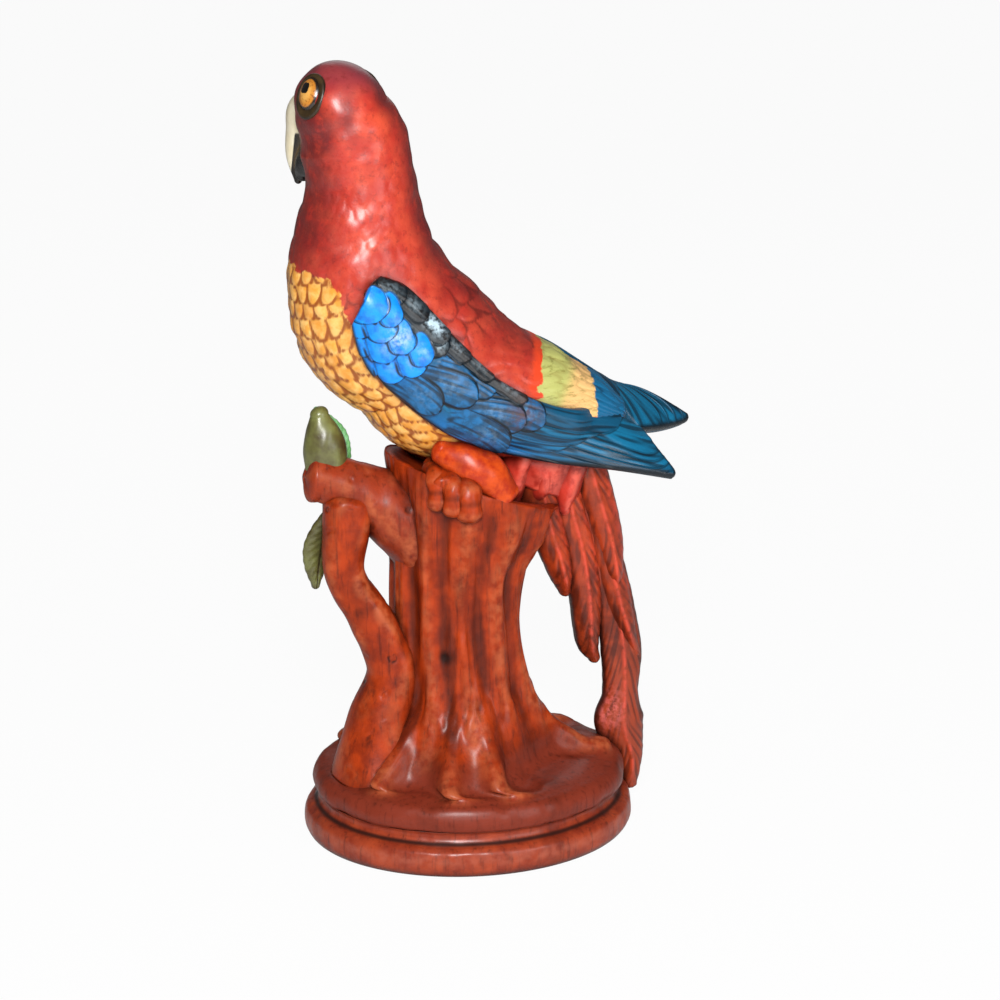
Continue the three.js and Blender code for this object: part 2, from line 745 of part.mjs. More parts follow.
const castings = [
  ['plinth', plinth(), 0x7c2f1c, 0.45],
  ['tree_stump', treeStump().subtract(hollow()), 0x83341f, 0.4],
  ['branch_stub', trimmed(branchStub(), [stumpRoom]), 0x86382a, 0.4],
  ['side_shoot', trimmed(sideShoot(), [stumpRoom, stubRoom]), 0x7f3220, 0.4],
  ['leaf_bud', trimmed(bud(), [stubRoom, stumpRoom]), 0x6b7038, 0.4],
  ['leaf_pale', trimmed(paleLeaf(), [stubRoom, stumpRoom, bud(room)]), 0x6fae6a, 0.45],
  ['leaf_lower', trimmed(lowerLeaf(), [stubRoom, shootRoom, stumpRoom]), 0x62702c, 0.45],
  ['bird_body', trimmed(birdBody(), [stumpRoom]), 0xa5301f, 0.4],
  ['beak_upper', trimmed(upperBeak(), [bodyRoom]), 0xe9dcb8, 0.35],
  ['beak_lower', trimmed(lowerBeak(), [bodyRoom, upperBeak(room)]), 0x1c1613, 0.35],
  ['wing_left', trimmed(wing(-1), [bodyRoom]), 0x14619c, 0.35],
  ['wing_right', trimmed(wing(1), [bodyRoom, leftWingRoom]), 0x14619c, 0.35],
];

for (const [name, side] of [['left', -1], ['right', 1]]) {
  const ball = eye(side, eyeRadius, eyeDepth);
  const ballRoom = eye(side, eyeRadius + room, eyeDepth + room);
  const lid = eye(side, eyeRadius + lidWidth, eyeDepth - lidStep);
  castings.push(['eye_' + name, trimmed(ball, [bodyRoom]), 0xd98a25, 0.2]);
  castings.push(['eyelid_' + name, trimmed(lid, [bodyRoom, ballRoom]), 0x4a3216, 0.4]);
  const legRooms = [bodyRoom, stumpRoom, ...wingRooms];
  const thighRoom = thigh(side, room);
  castings.push(['thigh_' + name, trimmed(thigh(side), legRooms), 0xd9481c, 0.4]);
  castings.push(['foot_' + name, trimmed(foot(side), [...legRooms, thighRoom]), 0x86382a, 0.35]);
}

const feathers = tailFeathers();
const tailRooms = tailFeathers(room);
const rumpRooms = [bodyRoom, stumpRoom, plinth(room), ...wingRooms];
feathers.forEach((feather, k) => {
  const casting = trimmed(feather, [...rumpRooms, ...tailRooms.slice(0, k)]);
  castings.push(['tail_feather_' + (k + 1), casting, 0x9c2a1c, 0.4]);
});
const coverts = trimmed(tailCoverts(), [...rumpRooms, ...thighRooms, ...tailRooms]);
castings.push(['tail_coverts', coverts, 0xc23a2a, 0.4]);

const figurine = new THREE.Group();
for (const [name, casting, color, roughness] of castings) {
  const glaze = new THREE.MeshStandardMaterial({ color, roughness, metalness: 0 });
  const mesh = new THREE.Mesh(surface(casting), glaze);
  mesh.name = name;
  figurine.add(mesh);
}
const outline = new THREE.Box3().setFromObject(figurine).getCenter(new THREE.Vector3());
figurine.position.set(-Math.round(outline.x), -Math.round(outline.y), 0);

export default figurine;
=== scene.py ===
"""Looks of a painted ceramic parrot on a tree stump, modelled over its packed castings."""

import logging
import math
from collections.abc import Sequence
from dataclasses import dataclass, field
from enum import Enum

import bpy
import numpy as np
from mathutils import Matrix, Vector


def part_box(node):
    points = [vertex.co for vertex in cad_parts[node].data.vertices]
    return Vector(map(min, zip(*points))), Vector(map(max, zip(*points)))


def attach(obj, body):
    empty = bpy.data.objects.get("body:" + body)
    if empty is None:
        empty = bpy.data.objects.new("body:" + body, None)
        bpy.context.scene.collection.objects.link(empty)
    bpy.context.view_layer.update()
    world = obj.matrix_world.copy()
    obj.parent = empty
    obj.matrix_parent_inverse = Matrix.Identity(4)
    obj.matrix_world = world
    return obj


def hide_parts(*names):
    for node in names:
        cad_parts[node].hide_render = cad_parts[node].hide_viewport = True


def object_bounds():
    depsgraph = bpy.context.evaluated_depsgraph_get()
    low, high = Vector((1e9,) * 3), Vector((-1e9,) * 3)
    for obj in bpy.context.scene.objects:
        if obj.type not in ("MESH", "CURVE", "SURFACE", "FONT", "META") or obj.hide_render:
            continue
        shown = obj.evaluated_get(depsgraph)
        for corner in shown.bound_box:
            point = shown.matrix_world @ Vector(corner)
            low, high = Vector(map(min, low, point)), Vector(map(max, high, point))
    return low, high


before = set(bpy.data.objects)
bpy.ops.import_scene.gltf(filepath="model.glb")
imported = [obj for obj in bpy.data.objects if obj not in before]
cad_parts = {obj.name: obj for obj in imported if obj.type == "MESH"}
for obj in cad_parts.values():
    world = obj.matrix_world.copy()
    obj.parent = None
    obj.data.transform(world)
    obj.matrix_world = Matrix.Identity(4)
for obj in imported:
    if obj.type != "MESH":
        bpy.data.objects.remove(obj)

log = logging.getLogger("parrot")

CAD_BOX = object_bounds()
MM = 0.001
DEGREES = math.pi / 180
# Margin inside the castings' outline
HAIR = 0.00002

Numbers = np.ndarray
Row = Sequence[float]
Socket = bpy.types.NodeSocket


class Side(Enum):
    """The bird's own left and right, with the sign of their Y."""

    LEFT = -1
    RIGHT = 1

    @property
    def label(self) -> str:
        """The side's name as the castings use it."""
        return self.name.lower()


@dataclass(frozen=True)
class Levels:
    """Heights and places in millimetres, measured from the middle of the plinth's underside."""

    middle_x: float
    ground: float
    mound: float
    perch: float
    trunk: float = 138
    mound_over_ground: float = 18
    rim: tuple[float, float] = (84, 72)
    rim_x: float = 2
    rim_slope: float = 0.36

    @classmethod
    def of_castings(cls) -> "Levels":
        """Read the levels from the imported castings.

        Returns:
            The levels of the plinth's middle, the ground, the mound and the perch.
        """
        low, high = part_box("plinth")
        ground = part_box("tree_stump")[0].z / MM
        mound = ground + cls.mound_over_ground
        return cls((low.x + high.x) / 2 / MM, ground, mound, mound + cls.trunk)


LEVELS = Levels.of_castings()


def smoothstep(value: Numbers, low: float, high: float) -> Numbers:
    """Rise smoothly from 0 at `low` to 1 at `high`."""
    t = np.clip((value - low) / (high - low), 0, 1)
    return t * t * (3 - 2 * t)


def bump(value: Numbers, middle: float, width: float) -> Numbers:
    """A bell of height 1 round `middle`."""
    return np.exp(-(((value - middle) / width) ** 2))


def spot(x: Numbers, height: Numbers, place: Row, width: float, stretch: float = 1) -> Numbers:
    """A bell round a place in the bird's side view, `stretch` times longer along x."""
    return bump(np.hypot((x - place[0]) / stretch, height - place[1]), 0, width)


def blend(amount: Numbers, first: Numbers, second: Numbers) -> Numbers:
    """Go from `first` to `second` as `amount` goes from 0 to 1."""
    return first + (second - first) * amount


def unit(rows: Numbers) -> Numbers:
    """Scale each row vector to length 1."""
    return rows / np.maximum(np.linalg.norm(rows, axis=-1, keepdims=True), 1e-9)


def chance(first: Numbers, second: Numbers) -> Numbers:
    """A fixed scatter in 0 to 1 for each pair of whole numbers."""
    value = np.sin(first * 12.9898 + second * 78.233) * 43758.5453
    return value - np.floor(value)


def ripple(points: Numbers, length: float, seed: int, waves: int = 9) -> Numbers:
    """Soft uneven waves over a surface, as hand-worked clay has.

    Args:
        points: Places, three numbers in the last axis.
        length: Mean wave length in the same unit.
        seed: Which set of waves.
        waves: How many waves are added.

    Returns:
        A height between about -1 and 1 for each place.
    """
    rng = np.random.default_rng(seed)
    total = np.zeros(points.shape[:-1])
    for _ in range(waves):
        way = unit(rng.normal(size=3))
        turns = (points @ way) / (length * rng.uniform(0.7, 1.5))
        total += np.sin(2 * math.pi * (turns + rng.uniform()))
    return total / math.sqrt(waves)


def streaks(points: Numbers, length: float, seed: int) -> Numbers:
    """Fine streaks between 0 and 1 over a surface."""
    return np.clip(0.5 + 0.5 * ripple(points, length, seed), 0, 1)


def turns(count: int) -> Numbers:
    """Headings that are spread evenly over a whole turn."""
    return np.linspace(0, 2 * math.pi, count, endpoint=False)


class Curve:
    """A smooth line through rows of numbers, read at parts of its length in rows."""

    def __init__(self, rows: Sequence[Row], spacing: float = 0.0) -> None:
        """Prepare the line.

        Args:
            rows: The rows that the line goes through.
            spacing: 0 for even steps between rows, 0.25 for steps that follow their distance.
        """
        inner = np.array(rows, float)
        first = 2 * inner[0] - inner[1]
        last = 2 * inner[-1] - inner[-2]
        self.rows = np.vstack([first, inner, last])
        gaps = (np.diff(self.rows[:, :3], axis=0) ** 2).sum(axis=1)
        self.steps = np.maximum(gaps, 1e-9) ** spacing
        self.count = len(inner)

    def at(self, part: Numbers) -> Numbers:
        """Rows at the given parts, 0 at the first row and 1 at the last."""
        place = np.clip(np.asarray(part, float), 0, 1) * (self.count - 1)
        i = np.minimum(place.astype(int), self.count - 2)
        w = (place - i)[..., None]
        a, b, c, d = (self.rows[i + k] for k in range(4))
        before, here, after = (self.steps[i + k][..., None] for k in range(3))
        leave = ((b - a) / before - (c - a) / (before + here) + (c - b) / here) * here
        reach = ((c - b) / here - (d - b) / (here + after) + (d - c) / after) * here
        return b + w * (leave + w * (3 * (c - b) - 2 * leave - reach + w * (2 * (b - c) + leave + reach)))


@dataclass
class Skin:
    """A closed skin: rings of points in millimetres from one end of a piece to the other."""

    rings: Numbers
    part: Numbers
    angle: Numbers
    joined: bool = False
    masks: dict[str, Numbers] = field(default_factory=dict)

    def normals(self) -> Numbers:
        """Outward directions at every point."""
        along = np.gradient(self.rings, axis=0)
        if self.joined:
            along[0] = along[-1] = (self.rings[1] - self.rings[-2]) / 2
        around = np.roll(self.rings, -1, axis=1) - np.roll(self.rings, 1, axis=1)
        area = np.cross(around, along)
        volume = np.sum(area * (self.rings - self.rings.mean(axis=(0, 1))))
        return unit(area) * np.sign(volume)

    def lengths(self) -> Numbers:
        """Distance in millimetres along each column from the first ring."""
        steps = np.linalg.norm(np.diff(self.rings, axis=0), axis=2)
        return np.vstack([np.zeros(steps.shape[1]), np.cumsum(steps, axis=0)])

    def eased(self, share: Numbers, rounds: int) -> "Skin":
        """The same skin with its rings drawn apart where they crowd in a bend.

        Args:
            share: How much each point may move, 0 to 1.
            rounds: How many times it moves half way to the middle of its neighbours.

        Returns:
            The skin itself.
        """
        for _ in range(rounds):
            middle = (self.rings[2:] + self.rings[:-2]) / 2
            self.rings[1:-1] += 0.5 * share[1:-1, :, None] * (middle - self.rings[1:-1])
        return self

    def raised(self, relief: Numbers) -> "Skin":
        """The same skin with each point moved out by `relief` millimetres."""
        self.rings = self.rings + self.normals() * relief[..., None]
        return self

    def build(self, name: str) -> bpy.types.Object:
        """Make the mesh object, in metres, at its place in the frame.

        Args:
            name: The object's name.

        Returns:
            The new object, linked to the scene.
        """
        count, sides = self.rings.shape[:2]
        points = self.rings.reshape(-1, 3)
        i, j = np.meshgrid(np.arange(count - 1), np.arange(sides), indexing="ij")
        a = i * sides + j
        b = i * sides + (j + 1) % sides
        quads = np.stack([a, b, b + sides, a + sides], axis=-1).reshape(-1, 4)
        faces = quads.tolist()
        masks = {key: value.reshape(-1) for key, value in self.masks.items()}
        if self.joined:
            points = points[: (count - 1) * sides]
            faces = (quads % len(points)).tolist()
            masks = {key: value[: len(points)] for key, value in masks.items()}
        else:
            pole, last = len(points), (count - 1) * sides
            points = np.vstack([points, self.rings[0].mean(axis=0), self.rings[-1].mean(axis=0)])
            for key, value in masks.items():
                masks[key] = np.append(value, [value[:sides].mean(), value[-sides:].mean()])
            for k in range(sides):
                after = (k + 1) % sides
                faces += [[after, k, pole], [last + k, last + after, pole + 1]]
        first, second, _, fourth = (points[quads[:, k] % len(points)] for k in range(4))
        area = np.cross(second - first, fourth - first)
        if np.sum(area * (first - points.mean(axis=0))) < 0:
            faces = [face[::-1] for face in faces]
        mesh = bpy.data.meshes.new(name)
        low, high = (np.array(corner) for corner in CAD_BOX)
        placed = np.clip((points + [LEVELS.middle_x, 0, 0]) * MM, low + HAIR, high - HAIR)
        mesh.from_pydata(placed.tolist(), [], faces)
        mesh.shade_smooth()
        for key, value in masks.items():
            layer = mesh.attributes.new(key, "FLOAT", "POINT")
            layer.data.foreach_set("value", np.ascontiguousarray(value, dtype=np.float32))
        mesh.update()
        piece = bpy.data.objects.new(name, mesh)
        bpy.context.scene.collection.objects.link(piece)
        return piece


@dataclass(frozen=True)
class Limb:
    """A rounded form along a line of rows: x, y, z, half width and half depth."""

    rows: Sequence[Row]
    across: Row = (0, 1, 0)
    cap_start: float = 0
    cap_end: float = 0

    def skin(self, steps: int, sides: int) -> Skin:
        """Loft the limb, with domes where an end has a cap.

        Args:
            steps: How many stations along the line.
            sides: How many points round each ring.

        Returns:
            The skin, with each ring's part of the line and each column's angle.
        """
        t = np.linspace(0, 1, steps + 1)
        line = Curve(self.rows).at(t)
        centre, half = line[:, :3], line[:, 3:5]
        along = unit(np.gradient(centre, axis=0))
        wide = np.array(self.across, float)
        side = unit(wide - along * (along @ wide)[:, None])
        up = np.cross(side, along)
        pace = np.linalg.norm(centre[1:] - centre[:-1], axis=1).mean()
        stations = [(i, 0.0, 1.0) for i in range(steps + 1)]
        for cap, way, index in ((self.cap_start, -1, 0), (self.cap_end, 1, steps)):
            if cap == 0:
                continue
            rows = max(5, round(1.4 * cap / pace))
            bends = [(index, way * cap * math.cos(turn), math.sin(turn))
                     for turn in np.linspace(0.03, math.pi / 2, rows, endpoint=False)]
            stations = bends + stations if way < 0 else stations + bends[::-1]
        pick, shift, scale = (np.array(column) for column in zip(*stations))
        angle = turns(sides)
        across = half[pick, 0, None] * scale[:, None] * np.cos(angle)
        deep = half[pick, 1, None] * scale[:, None] * np.sin(angle)
        middle = centre[pick] + along[pick] * shift[:, None]
        rings = middle[:, None] + side[pick, None] * across[..., None] + up[pick, None] * deep[..., None]
        return Skin(rings, t[pick], angle)


def scales(rows: Numbers, columns: Numbers, count: int, notch: float) -> tuple:
    """Small overlapping feathers, row under row.

    Args:
        rows: Place along the bird, in rows, counted from the head.
        columns: Place across the rows, in feathers.
        count: Feathers in a whole turn, after which they repeat.
        notch: How deep the notches between the tips are, in rows.

    Returns:
        The rise from 0 to 1, the groove round each feather with the painted shadow below its edge, and each
        feather's own tint.
    """
    index = np.floor(rows)

    def layer(row: Numbers) -> tuple:
        """Rise, distance inside the rounded edge and tint of the feathers of one row."""
        place = columns + 0.5 * (row % 2)
        cell = np.floor(place)
        past = np.clip((rows - row - 1 + notch) / notch, 0, None)
        edge = 1 - np.hypot(2 * (place - cell) - 1, past)
        ramp = np.clip((rows - row + notch) / (1 + notch), 0, 1)
        return ramp * (0.4 + 0.6 * smoothstep(edge, 0, 0.6)), edge, chance(row, cell % count)

    upper, edge, tint = layer(index)
    lower, _, under = layer(index + 1)
    cover = smoothstep(edge, -0.05, 0.05)
    # A thin dark line inside each edge, and a wider painted shadow that the edge casts on the row below
    groove = np.where(edge > 0, bump(edge, 0, 0.16), bump(edge, 0, 0.32))
    return blend(cover, lower, upper), groove, np.where(edge > 0, tint, under)


def linear(code: str) -> tuple[float, float, float, float]:
    """A colour as written, such as "a53a24", in the renderer's own linear values."""
    parts = [int(code[k : k + 2], 16) / 255 for k in (0, 2, 4)]
    return (*[p / 12.92 if p <= 0.04045 else ((p + 0.055) / 1.055) ** 2.4 for p in parts], 1.0)


class Brush:
    """Lays the colours of one finish as shader nodes."""

    def __init__(self, name: str) -> None:
        """Start a finish of that name."""
        self.material = bpy.data.materials.new(name)
        self.material.use_nodes = True
        self.tree = self.material.node_tree
        self.shader = self.tree.nodes["Principled BSDF"]
        self.place = self.tree.nodes.new("ShaderNodeTexCoord").outputs["Object"]

    def feed(self, socket: Socket, value: object) -> None:
        """Link a socket's value, or set it where it is plain."""
        if isinstance(value, bpy.types.NodeSocket):
            self.tree.links.new(value, socket)
        else:
            socket.default_value = value

    def mask(self, name: str) -> Socket:
        """A painted mask that the mesh carries."""
        node = self.tree.nodes.new("ShaderNodeAttribute")
        node.attribute_name = name
        return node.outputs["Fac"]

    def sum(self, kind: str, first: object, second: object = 0.0, clamp: bool = False) -> Socket:
        """One sum, such as ADD or MULTIPLY, of two values."""
        node = self.tree.nodes.new("ShaderNodeMath")
        node.operation = kind
        node.use_clamp = clamp
        self.feed(node.inputs[0], first)
        self.feed(node.inputs[1], second)
        return node.outputs[0]

    def noise(self, size: float, detail: float = 3, rough: float = 0.55, stretch: Row = (1, 1, 1)) -> Socket:
        """Cloudy noise between 0 and 1.

        Args:
            size: Size of a cloud in millimetres.
            detail: How many finer layers it has.
            rough: How strong the finer layers are.
            stretch: How many times longer the clouds are along each axis.

        Returns:
            The noise value.
        """
        turn = self.tree.nodes.new("ShaderNodeMapping")
        self.feed(turn.inputs["Vector"], self.place)
        turn.inputs["Scale"].default_value = [1 / (size * MM * s) for s in stretch]
        node = self.tree.nodes.new("ShaderNodeTexNoise")
        self.feed(node.inputs["Vector"], turn.outputs[0])
        node.inputs["Scale"].default_value = 1
        node.inputs["Detail"].default_value = detail
        node.inputs["Roughness"].default_value = rough
        return node.outputs["Fac"]

    def step(self, value: object, low: float, high: float) -> Socket:
        """Rise smoothly from 0 at `low` to 1 at `high`."""
        node = self.tree.nodes.new("ShaderNodeMapRange")
        node.interpolation_type = "SMOOTHSTEP"
        self.feed(node.inputs["Value"], value)
        node.inputs["From Min"].default_value = low
        node.inputs["From Max"].default_value = high
        return node.outputs["Result"]

    def clouds(self, size: float, low: float, high: float, detail: float = 3, rough: float = 0.55,
               stretch: Row = (1, 1, 1)) -> Socket:
        """Noise of that size in millimetres, 0 below `low` and 1 above `high`."""
        return self.step(self.noise(size, detail, rough, stretch), low, high)

    def patchy(self, mask: str, *clouds: float) -> Socket:
        """A painted mask that clouds break up."""
        return self.sum("MULTIPLY", self.mask(mask), self.clouds(*clouds))

    def over(self, ground: object, paint: object, amount: object, share: float = 1) -> Socket:
        """Lay paint over the ground by `amount`, at most as strongly as `share`."""
        return self.mix(amount if share == 1 else self.sum("MULTIPLY", amount, share), ground, paint)

    def mix(self, amount: object, first: object, second: object) -> Socket:
        """A colour from `first` to `second`, each a code or a socket."""
        node = self.tree.nodes.new("ShaderNodeMix")
        node.data_type = "RGBA"
        self.feed(node.inputs[0], amount)
        self.feed(node.inputs[6], linear(first) if isinstance(first, str) else first)
        self.feed(node.inputs[7], linear(second) if isinstance(second, str) else second)
        return node.outputs[2]

    def crevice_wash_and_shade(self, reach: float) -> Socket:
        """How hidden a place is, 1 in the deepest folds, for the dark wash and painted shade.

        Args:
            reach: How far the folds reach, in millimetres.

        Returns:
            The share of the surroundings that is near.
        """
        node = self.tree.nodes.new("ShaderNodeAmbientOcclusion")
        node.samples = 6
        node.inputs["Distance"].default_value = reach * MM
        return self.sum("SUBTRACT", 1.0, node.outputs["AO"], clamp=True)

    def dent(self, height: object, depth: float) -> None:
        """Fine relief on the surface, `depth` millimetres for a height of 1."""
        node = self.tree.nodes.new("ShaderNodeBump")
        node.inputs["Strength"].default_value = 1
        node.inputs["Distance"].default_value = depth * MM
        self.feed(node.inputs["Height"], height)
        self.tree.links.new(node.outputs["Normal"], self.shader.inputs["Normal"])


@dataclass(frozen=True)
class Glaze:
    """A painted and glazed finish: mottled colour, a dark wash and painted shade in the folds, and a thin
    clear coat.

    The wash darkens a place as far as its surroundings hide it, so it is partly the object's own antique wash
    in its hollows and partly painted shade between parts and near the floor. Clouds, the reach of wash and
    shade and the grain's depth are in millimetres.
    """

    name: str
    light: str
    base: str
    dark: str
    cloud: float = 9
    wash_and_shade: float = 0.85
    wash_and_shade_reach: float = 7
    gloss: float = 0.3
    rough: float = 0.42
    coat_rough: float = 0.24
    grain: float = 0.1
    specular: float = 0.3

    def colour(self, brush: Brush) -> Socket:
        """The colour before the dark wash and painted shade: mottled, and dark in the grooves."""
        ground = brush.mix(brush.clouds(self.cloud, 0.3, 0.72), self.base, self.light)
        return brush.over(ground, self.dark, brush.step(brush.mask("groove"), 0.1, 0.9))

    def material(self) -> bpy.types.Material:
        """Build the finish, once.

        Returns:
            The material of this name.
        """
        known = bpy.data.materials.get(self.name)
        if known:
            return known
        brush = Brush(self.name)
        speckle = brush.noise(1.1, 2)
        # Dark wash by how hidden a place is: the antique wash in the hollows, and painted shade between parts
        # and near the floor
        folds = brush.step(brush.crevice_wash_and_shade(self.wash_and_shade_reach), 0.12, 0.8)
        painted = brush.over(self.colour(brush), self.dark, folds, self.wash_and_shade)
        brush.feed(brush.shader.inputs["Base Color"], painted)
        uneven = brush.sum("MULTIPLY_ADD", brush.noise(5, 4), 0.3)
        uneven.node.inputs[2].default_value = self.rough - 0.15
        brush.feed(brush.shader.inputs["Roughness"], uneven)
        brush.shader.inputs["Specular IOR Level"].default_value = self.specular
        brush.shader.inputs["Coat Weight"].default_value = self.gloss
        brush.shader.inputs["Coat Roughness"].default_value = self.coat_rough
        brush.dent(brush.sum("ADD", speckle, brush.noise(4, 3)), self.grain)
        return brush.material


@dataclass(frozen=True)
class Bark(Glaze):
    """Red-brown bark glaze, with dark streaks that run down the wood and painted orange highlights on the
    ridges.
    """

    streak: str = "38120a"
    # Painted highlight colour on the raised ridges
    ridge_light: str = "c4683f"
    soil: str = "7c2f1e"

    def colour(self, brush: Brush) -> Socket:
        """Streaked red-brown, with painted orange highlights on the ridges and dark grooves."""
        ground = brush.over(super().colour(brush), self.soil, brush.mask("earth"))
        ground = brush.over(ground, self.streak, brush.clouds(2.2, 0.5, 0.74, 5, 0.62, (1, 1, 14)), 0.62)
        ground = brush.over(ground, self.dark, brush.clouds(17, 0.5, 0.75, 3, 0.6, (1, 1, 2.2)), 0.4)
        # Painted highlight on the ridges
        return brush.over(ground, self.ridge_light, brush.patchy("ridge_highlight", 5, 0.3, 0.7), 0.6)


@dataclass(frozen=True)
class Plumage(Glaze):
    """Red plumage with its yellow breast and the yellow-green patch over the rump."""

    bib: str = "e29a3c"
    bib_pale: str = "f4c070"
    bib_deep: str = "d07e28"
    bib_dark: str = "8a3f0e"
    patch_green: str = "b4b568"
    patch_peach: str = "ecbb7a"
    patch_vein: str = "74702e"
    patch_fold: str = "8d7a3c"
    rump: str = "12628c"
    rump_fold: str = "082038"
    band: str = "dc421e"
    mottle: str = "a02a1c"
    deep: str = "8e2219"
    shade: str = "55161c"
    speck: str = "6a1a18"
    # Painted mauve sheen on the top of the head
    crown: str = "7c3340"
    spot: str = "ee2a1e"

    def colour(self, brush: Brush) -> Socket:
        """Red, yellow, patch and rump colours, each with its own groove colour."""
        groove = brush.step(brush.mask("groove"), 0.1, 0.9)
        tint = brush.mask("tint")
        wobble = brush.sum("MULTIPLY", brush.sum("SUBTRACT", brush.noise(4), 0.5), 5.0)

        def area(mask: str, low: float, high: float) -> Socket:
            """The area of a mask in millimetres, with an uneven edge."""
            return brush.step(brush.sum("ADD", brush.mask(mask), wobble), low, high)

        red = brush.mix(brush.clouds(self.cloud, 0.3, 0.72), self.base, self.light)
        red = brush.over(red, self.mottle, brush.clouds(14, 0.48, 0.72), 0.5)
        red = brush.over(red, self.deep, tint, 0.25)
        red = brush.over(red, self.shade, brush.patchy("shade", 4.5, 0.12, 0.58, 4, 0.65), 0.85)
        # Painted sheen on the crown
        red = brush.over(red, self.crown, brush.mask("crown"), 0.7)
        red = brush.over(red, self.speck, brush.clouds(3.2, 0.5, 0.7, 6, 0.7), 0.5)
        red = brush.over(red, self.dark, groove, 0.7)
        red = brush.over(red, self.spot, brush.mask("spot"))
        red = brush.over(red, self.band, area("band", -1.0, 4.0), 0.9)
        yellow = brush.mix(brush.clouds(5, 0.35, 0.68), self.bib, self.bib_pale)
        yellow = brush.over(yellow, self.bib_deep, tint, 0.35)
        yellow = brush.over(yellow, self.bib_dark, groove, 0.92)
        patch = brush.mix(brush.step(brush.mask("peach"), 0.0, 1.0), self.patch_green, self.patch_peach)
        patch = brush.over(patch, self.patch_vein, brush.clouds(1.7, 0.5, 0.68, 4, 0.6, (7, 1.5, 1)), 0.6)
        patch = brush.over(patch, self.patch_fold, groove, 0.45)
        rump = brush.over(self.rump, self.rump_fold, groove, 0.8)
        ground = brush.over(red, yellow, area("bib", -0.5, 0.8))
        ground = brush.over(ground, patch, area("patch", -0.4, 0.7))
        return brush.over(ground, rump, area("rump", -0.4, 0.7))


@dataclass(frozen=True)
class WingGlaze(Glaze):
    """Blue wing: bright shoulder, steel-blue coverts, dark flight feathers and black scapulars."""

    lower: str = "0a6cb4"
    bright: str = "068ceb"
    bright_deep: str = "0566c0"
    steel: str = "0d6298"
    steel_deep: str = "0a466c"
    black: str = "120e0e"
    black_worn: str = "33363c"
    # Painted silver highlight colour
    silver_glint: str = "b4cbd8"
    umber: str = "4d2d22"

    def colour(self, brush: Brush) -> Socket:
        """Blues by feather row, with streaks, dark edges with painted shadow beside them, and painted silver
        highlights on the ridges.
        """
        ground = brush.mix(brush.mask("tint"), self.base, self.light)
        ground = brush.over(ground, self.lower, brush.mask("lower"))
        steel = brush.mix(brush.clouds(4, 0.35, 0.65, 4), self.steel, self.steel_deep)
        shoulder = brush.mix(brush.clouds(5, 0.4, 0.7, 4), self.bright, self.bright_deep)
        black = brush.mix(brush.clouds(3, 0.5, 0.8, 4), self.black, self.black_worn)
        for tier, paint in (("steel", steel), ("shoulder", shoulder), ("scapular", black)):
            ground = brush.over(ground, paint, brush.mask(tier))
        ground = brush.over(ground, self.dark, brush.step(brush.mask("barb"), 0.32, 0.85), 0.72)
        # Painted silver highlight on the raised middles of the feathers
        ground = brush.over(ground, self.silver_glint, brush.patchy("silver_highlight", 2.4, 0.34, 0.66, 4), 0.75)
        ground = brush.over(ground, self.umber, brush.patchy("umber", 3, 0.35, 0.6, 4), 0.8)
        return brush.over(ground, self.dark, brush.step(brush.mask("groove"), 0.1, 0.85))


@dataclass(frozen=True)
class TailGlaze(Glaze):
    """Tail feathers: orange-red with painted pink highlights on the shafts, dark streaks and dark edges."""

    # Painted highlight colour on the shafts and ridges
    shaft: str = "de4c36"
    brown: str = "93371a"
    pink: str = "d8645c"

    def colour(self, brush: Brush) -> Socket:
        """Orange-red with long dark streaks, painted highlights on the shafts and ridges, pink stipple and
        browner lower down.
        """
        ground = brush.mix(brush.clouds(self.cloud, 0.3, 0.7), self.base, self.light)
        ground = brush.over(ground, self.brown, brush.mask("low"), 0.75)
        ground = brush.over(ground, self.dark, brush.step(brush.mask("barb"), 0.3, 0.95), 0.6)
        ground = brush.over(ground, self.dark, brush.patchy("dusk", 6, 0.3, 0.6, 4), 0.5)
        # Painted highlight on the shafts and ridges
        ground = brush.over(ground, self.shaft, brush.patchy("ridge_highlight", 4, 0.3, 0.6), 0.85)
        ground = brush.over(ground, self.pink, brush.patchy("stipple", 2.6, 0.4, 0.6, 5, 0.7), 0.7)
        return brush.over(ground, self.dark, brush.step(brush.mask("groove"), 0.1, 0.9))


@dataclass(frozen=True)
class EyeGlaze(Glaze):
    """Glossy eye: speckled orange iris, squarish black pupil and a dark outer line."""

    fleck: str = "7c4214"
    black: str = "0d0806"

    def colour(self, brush: Brush) -> Socket:
        """Iris and pupil, painted round the middle of the eye."""
        ring = brush.sum("ADD", brush.mask("polar"), brush.sum("MULTIPLY", brush.noise(2, 2), 0.03))
        iris = brush.mix(brush.step(ring, 0.3, 0.7), self.light, self.base)
        iris = brush.over(iris, self.fleck, brush.clouds(1.2, 0.5, 0.75))
        eye = brush.over(iris, self.black, brush.step(brush.mask("pupil"), 0.0, 0.12))
        return brush.over(eye, self.dark, brush.step(ring, 0.72, 0.82))


@dataclass(frozen=True)
class BeakGlaze(Glaze):
    """Cream beak with its black lower corner."""

    black: str = "120d0a"

    def colour(self, brush: Brush) -> Socket:
        """Cream, black where the mask says so."""
        return brush.over(super().colour(brush), self.black, brush.step(brush.mask("sooty"), 0.2, 0.8))


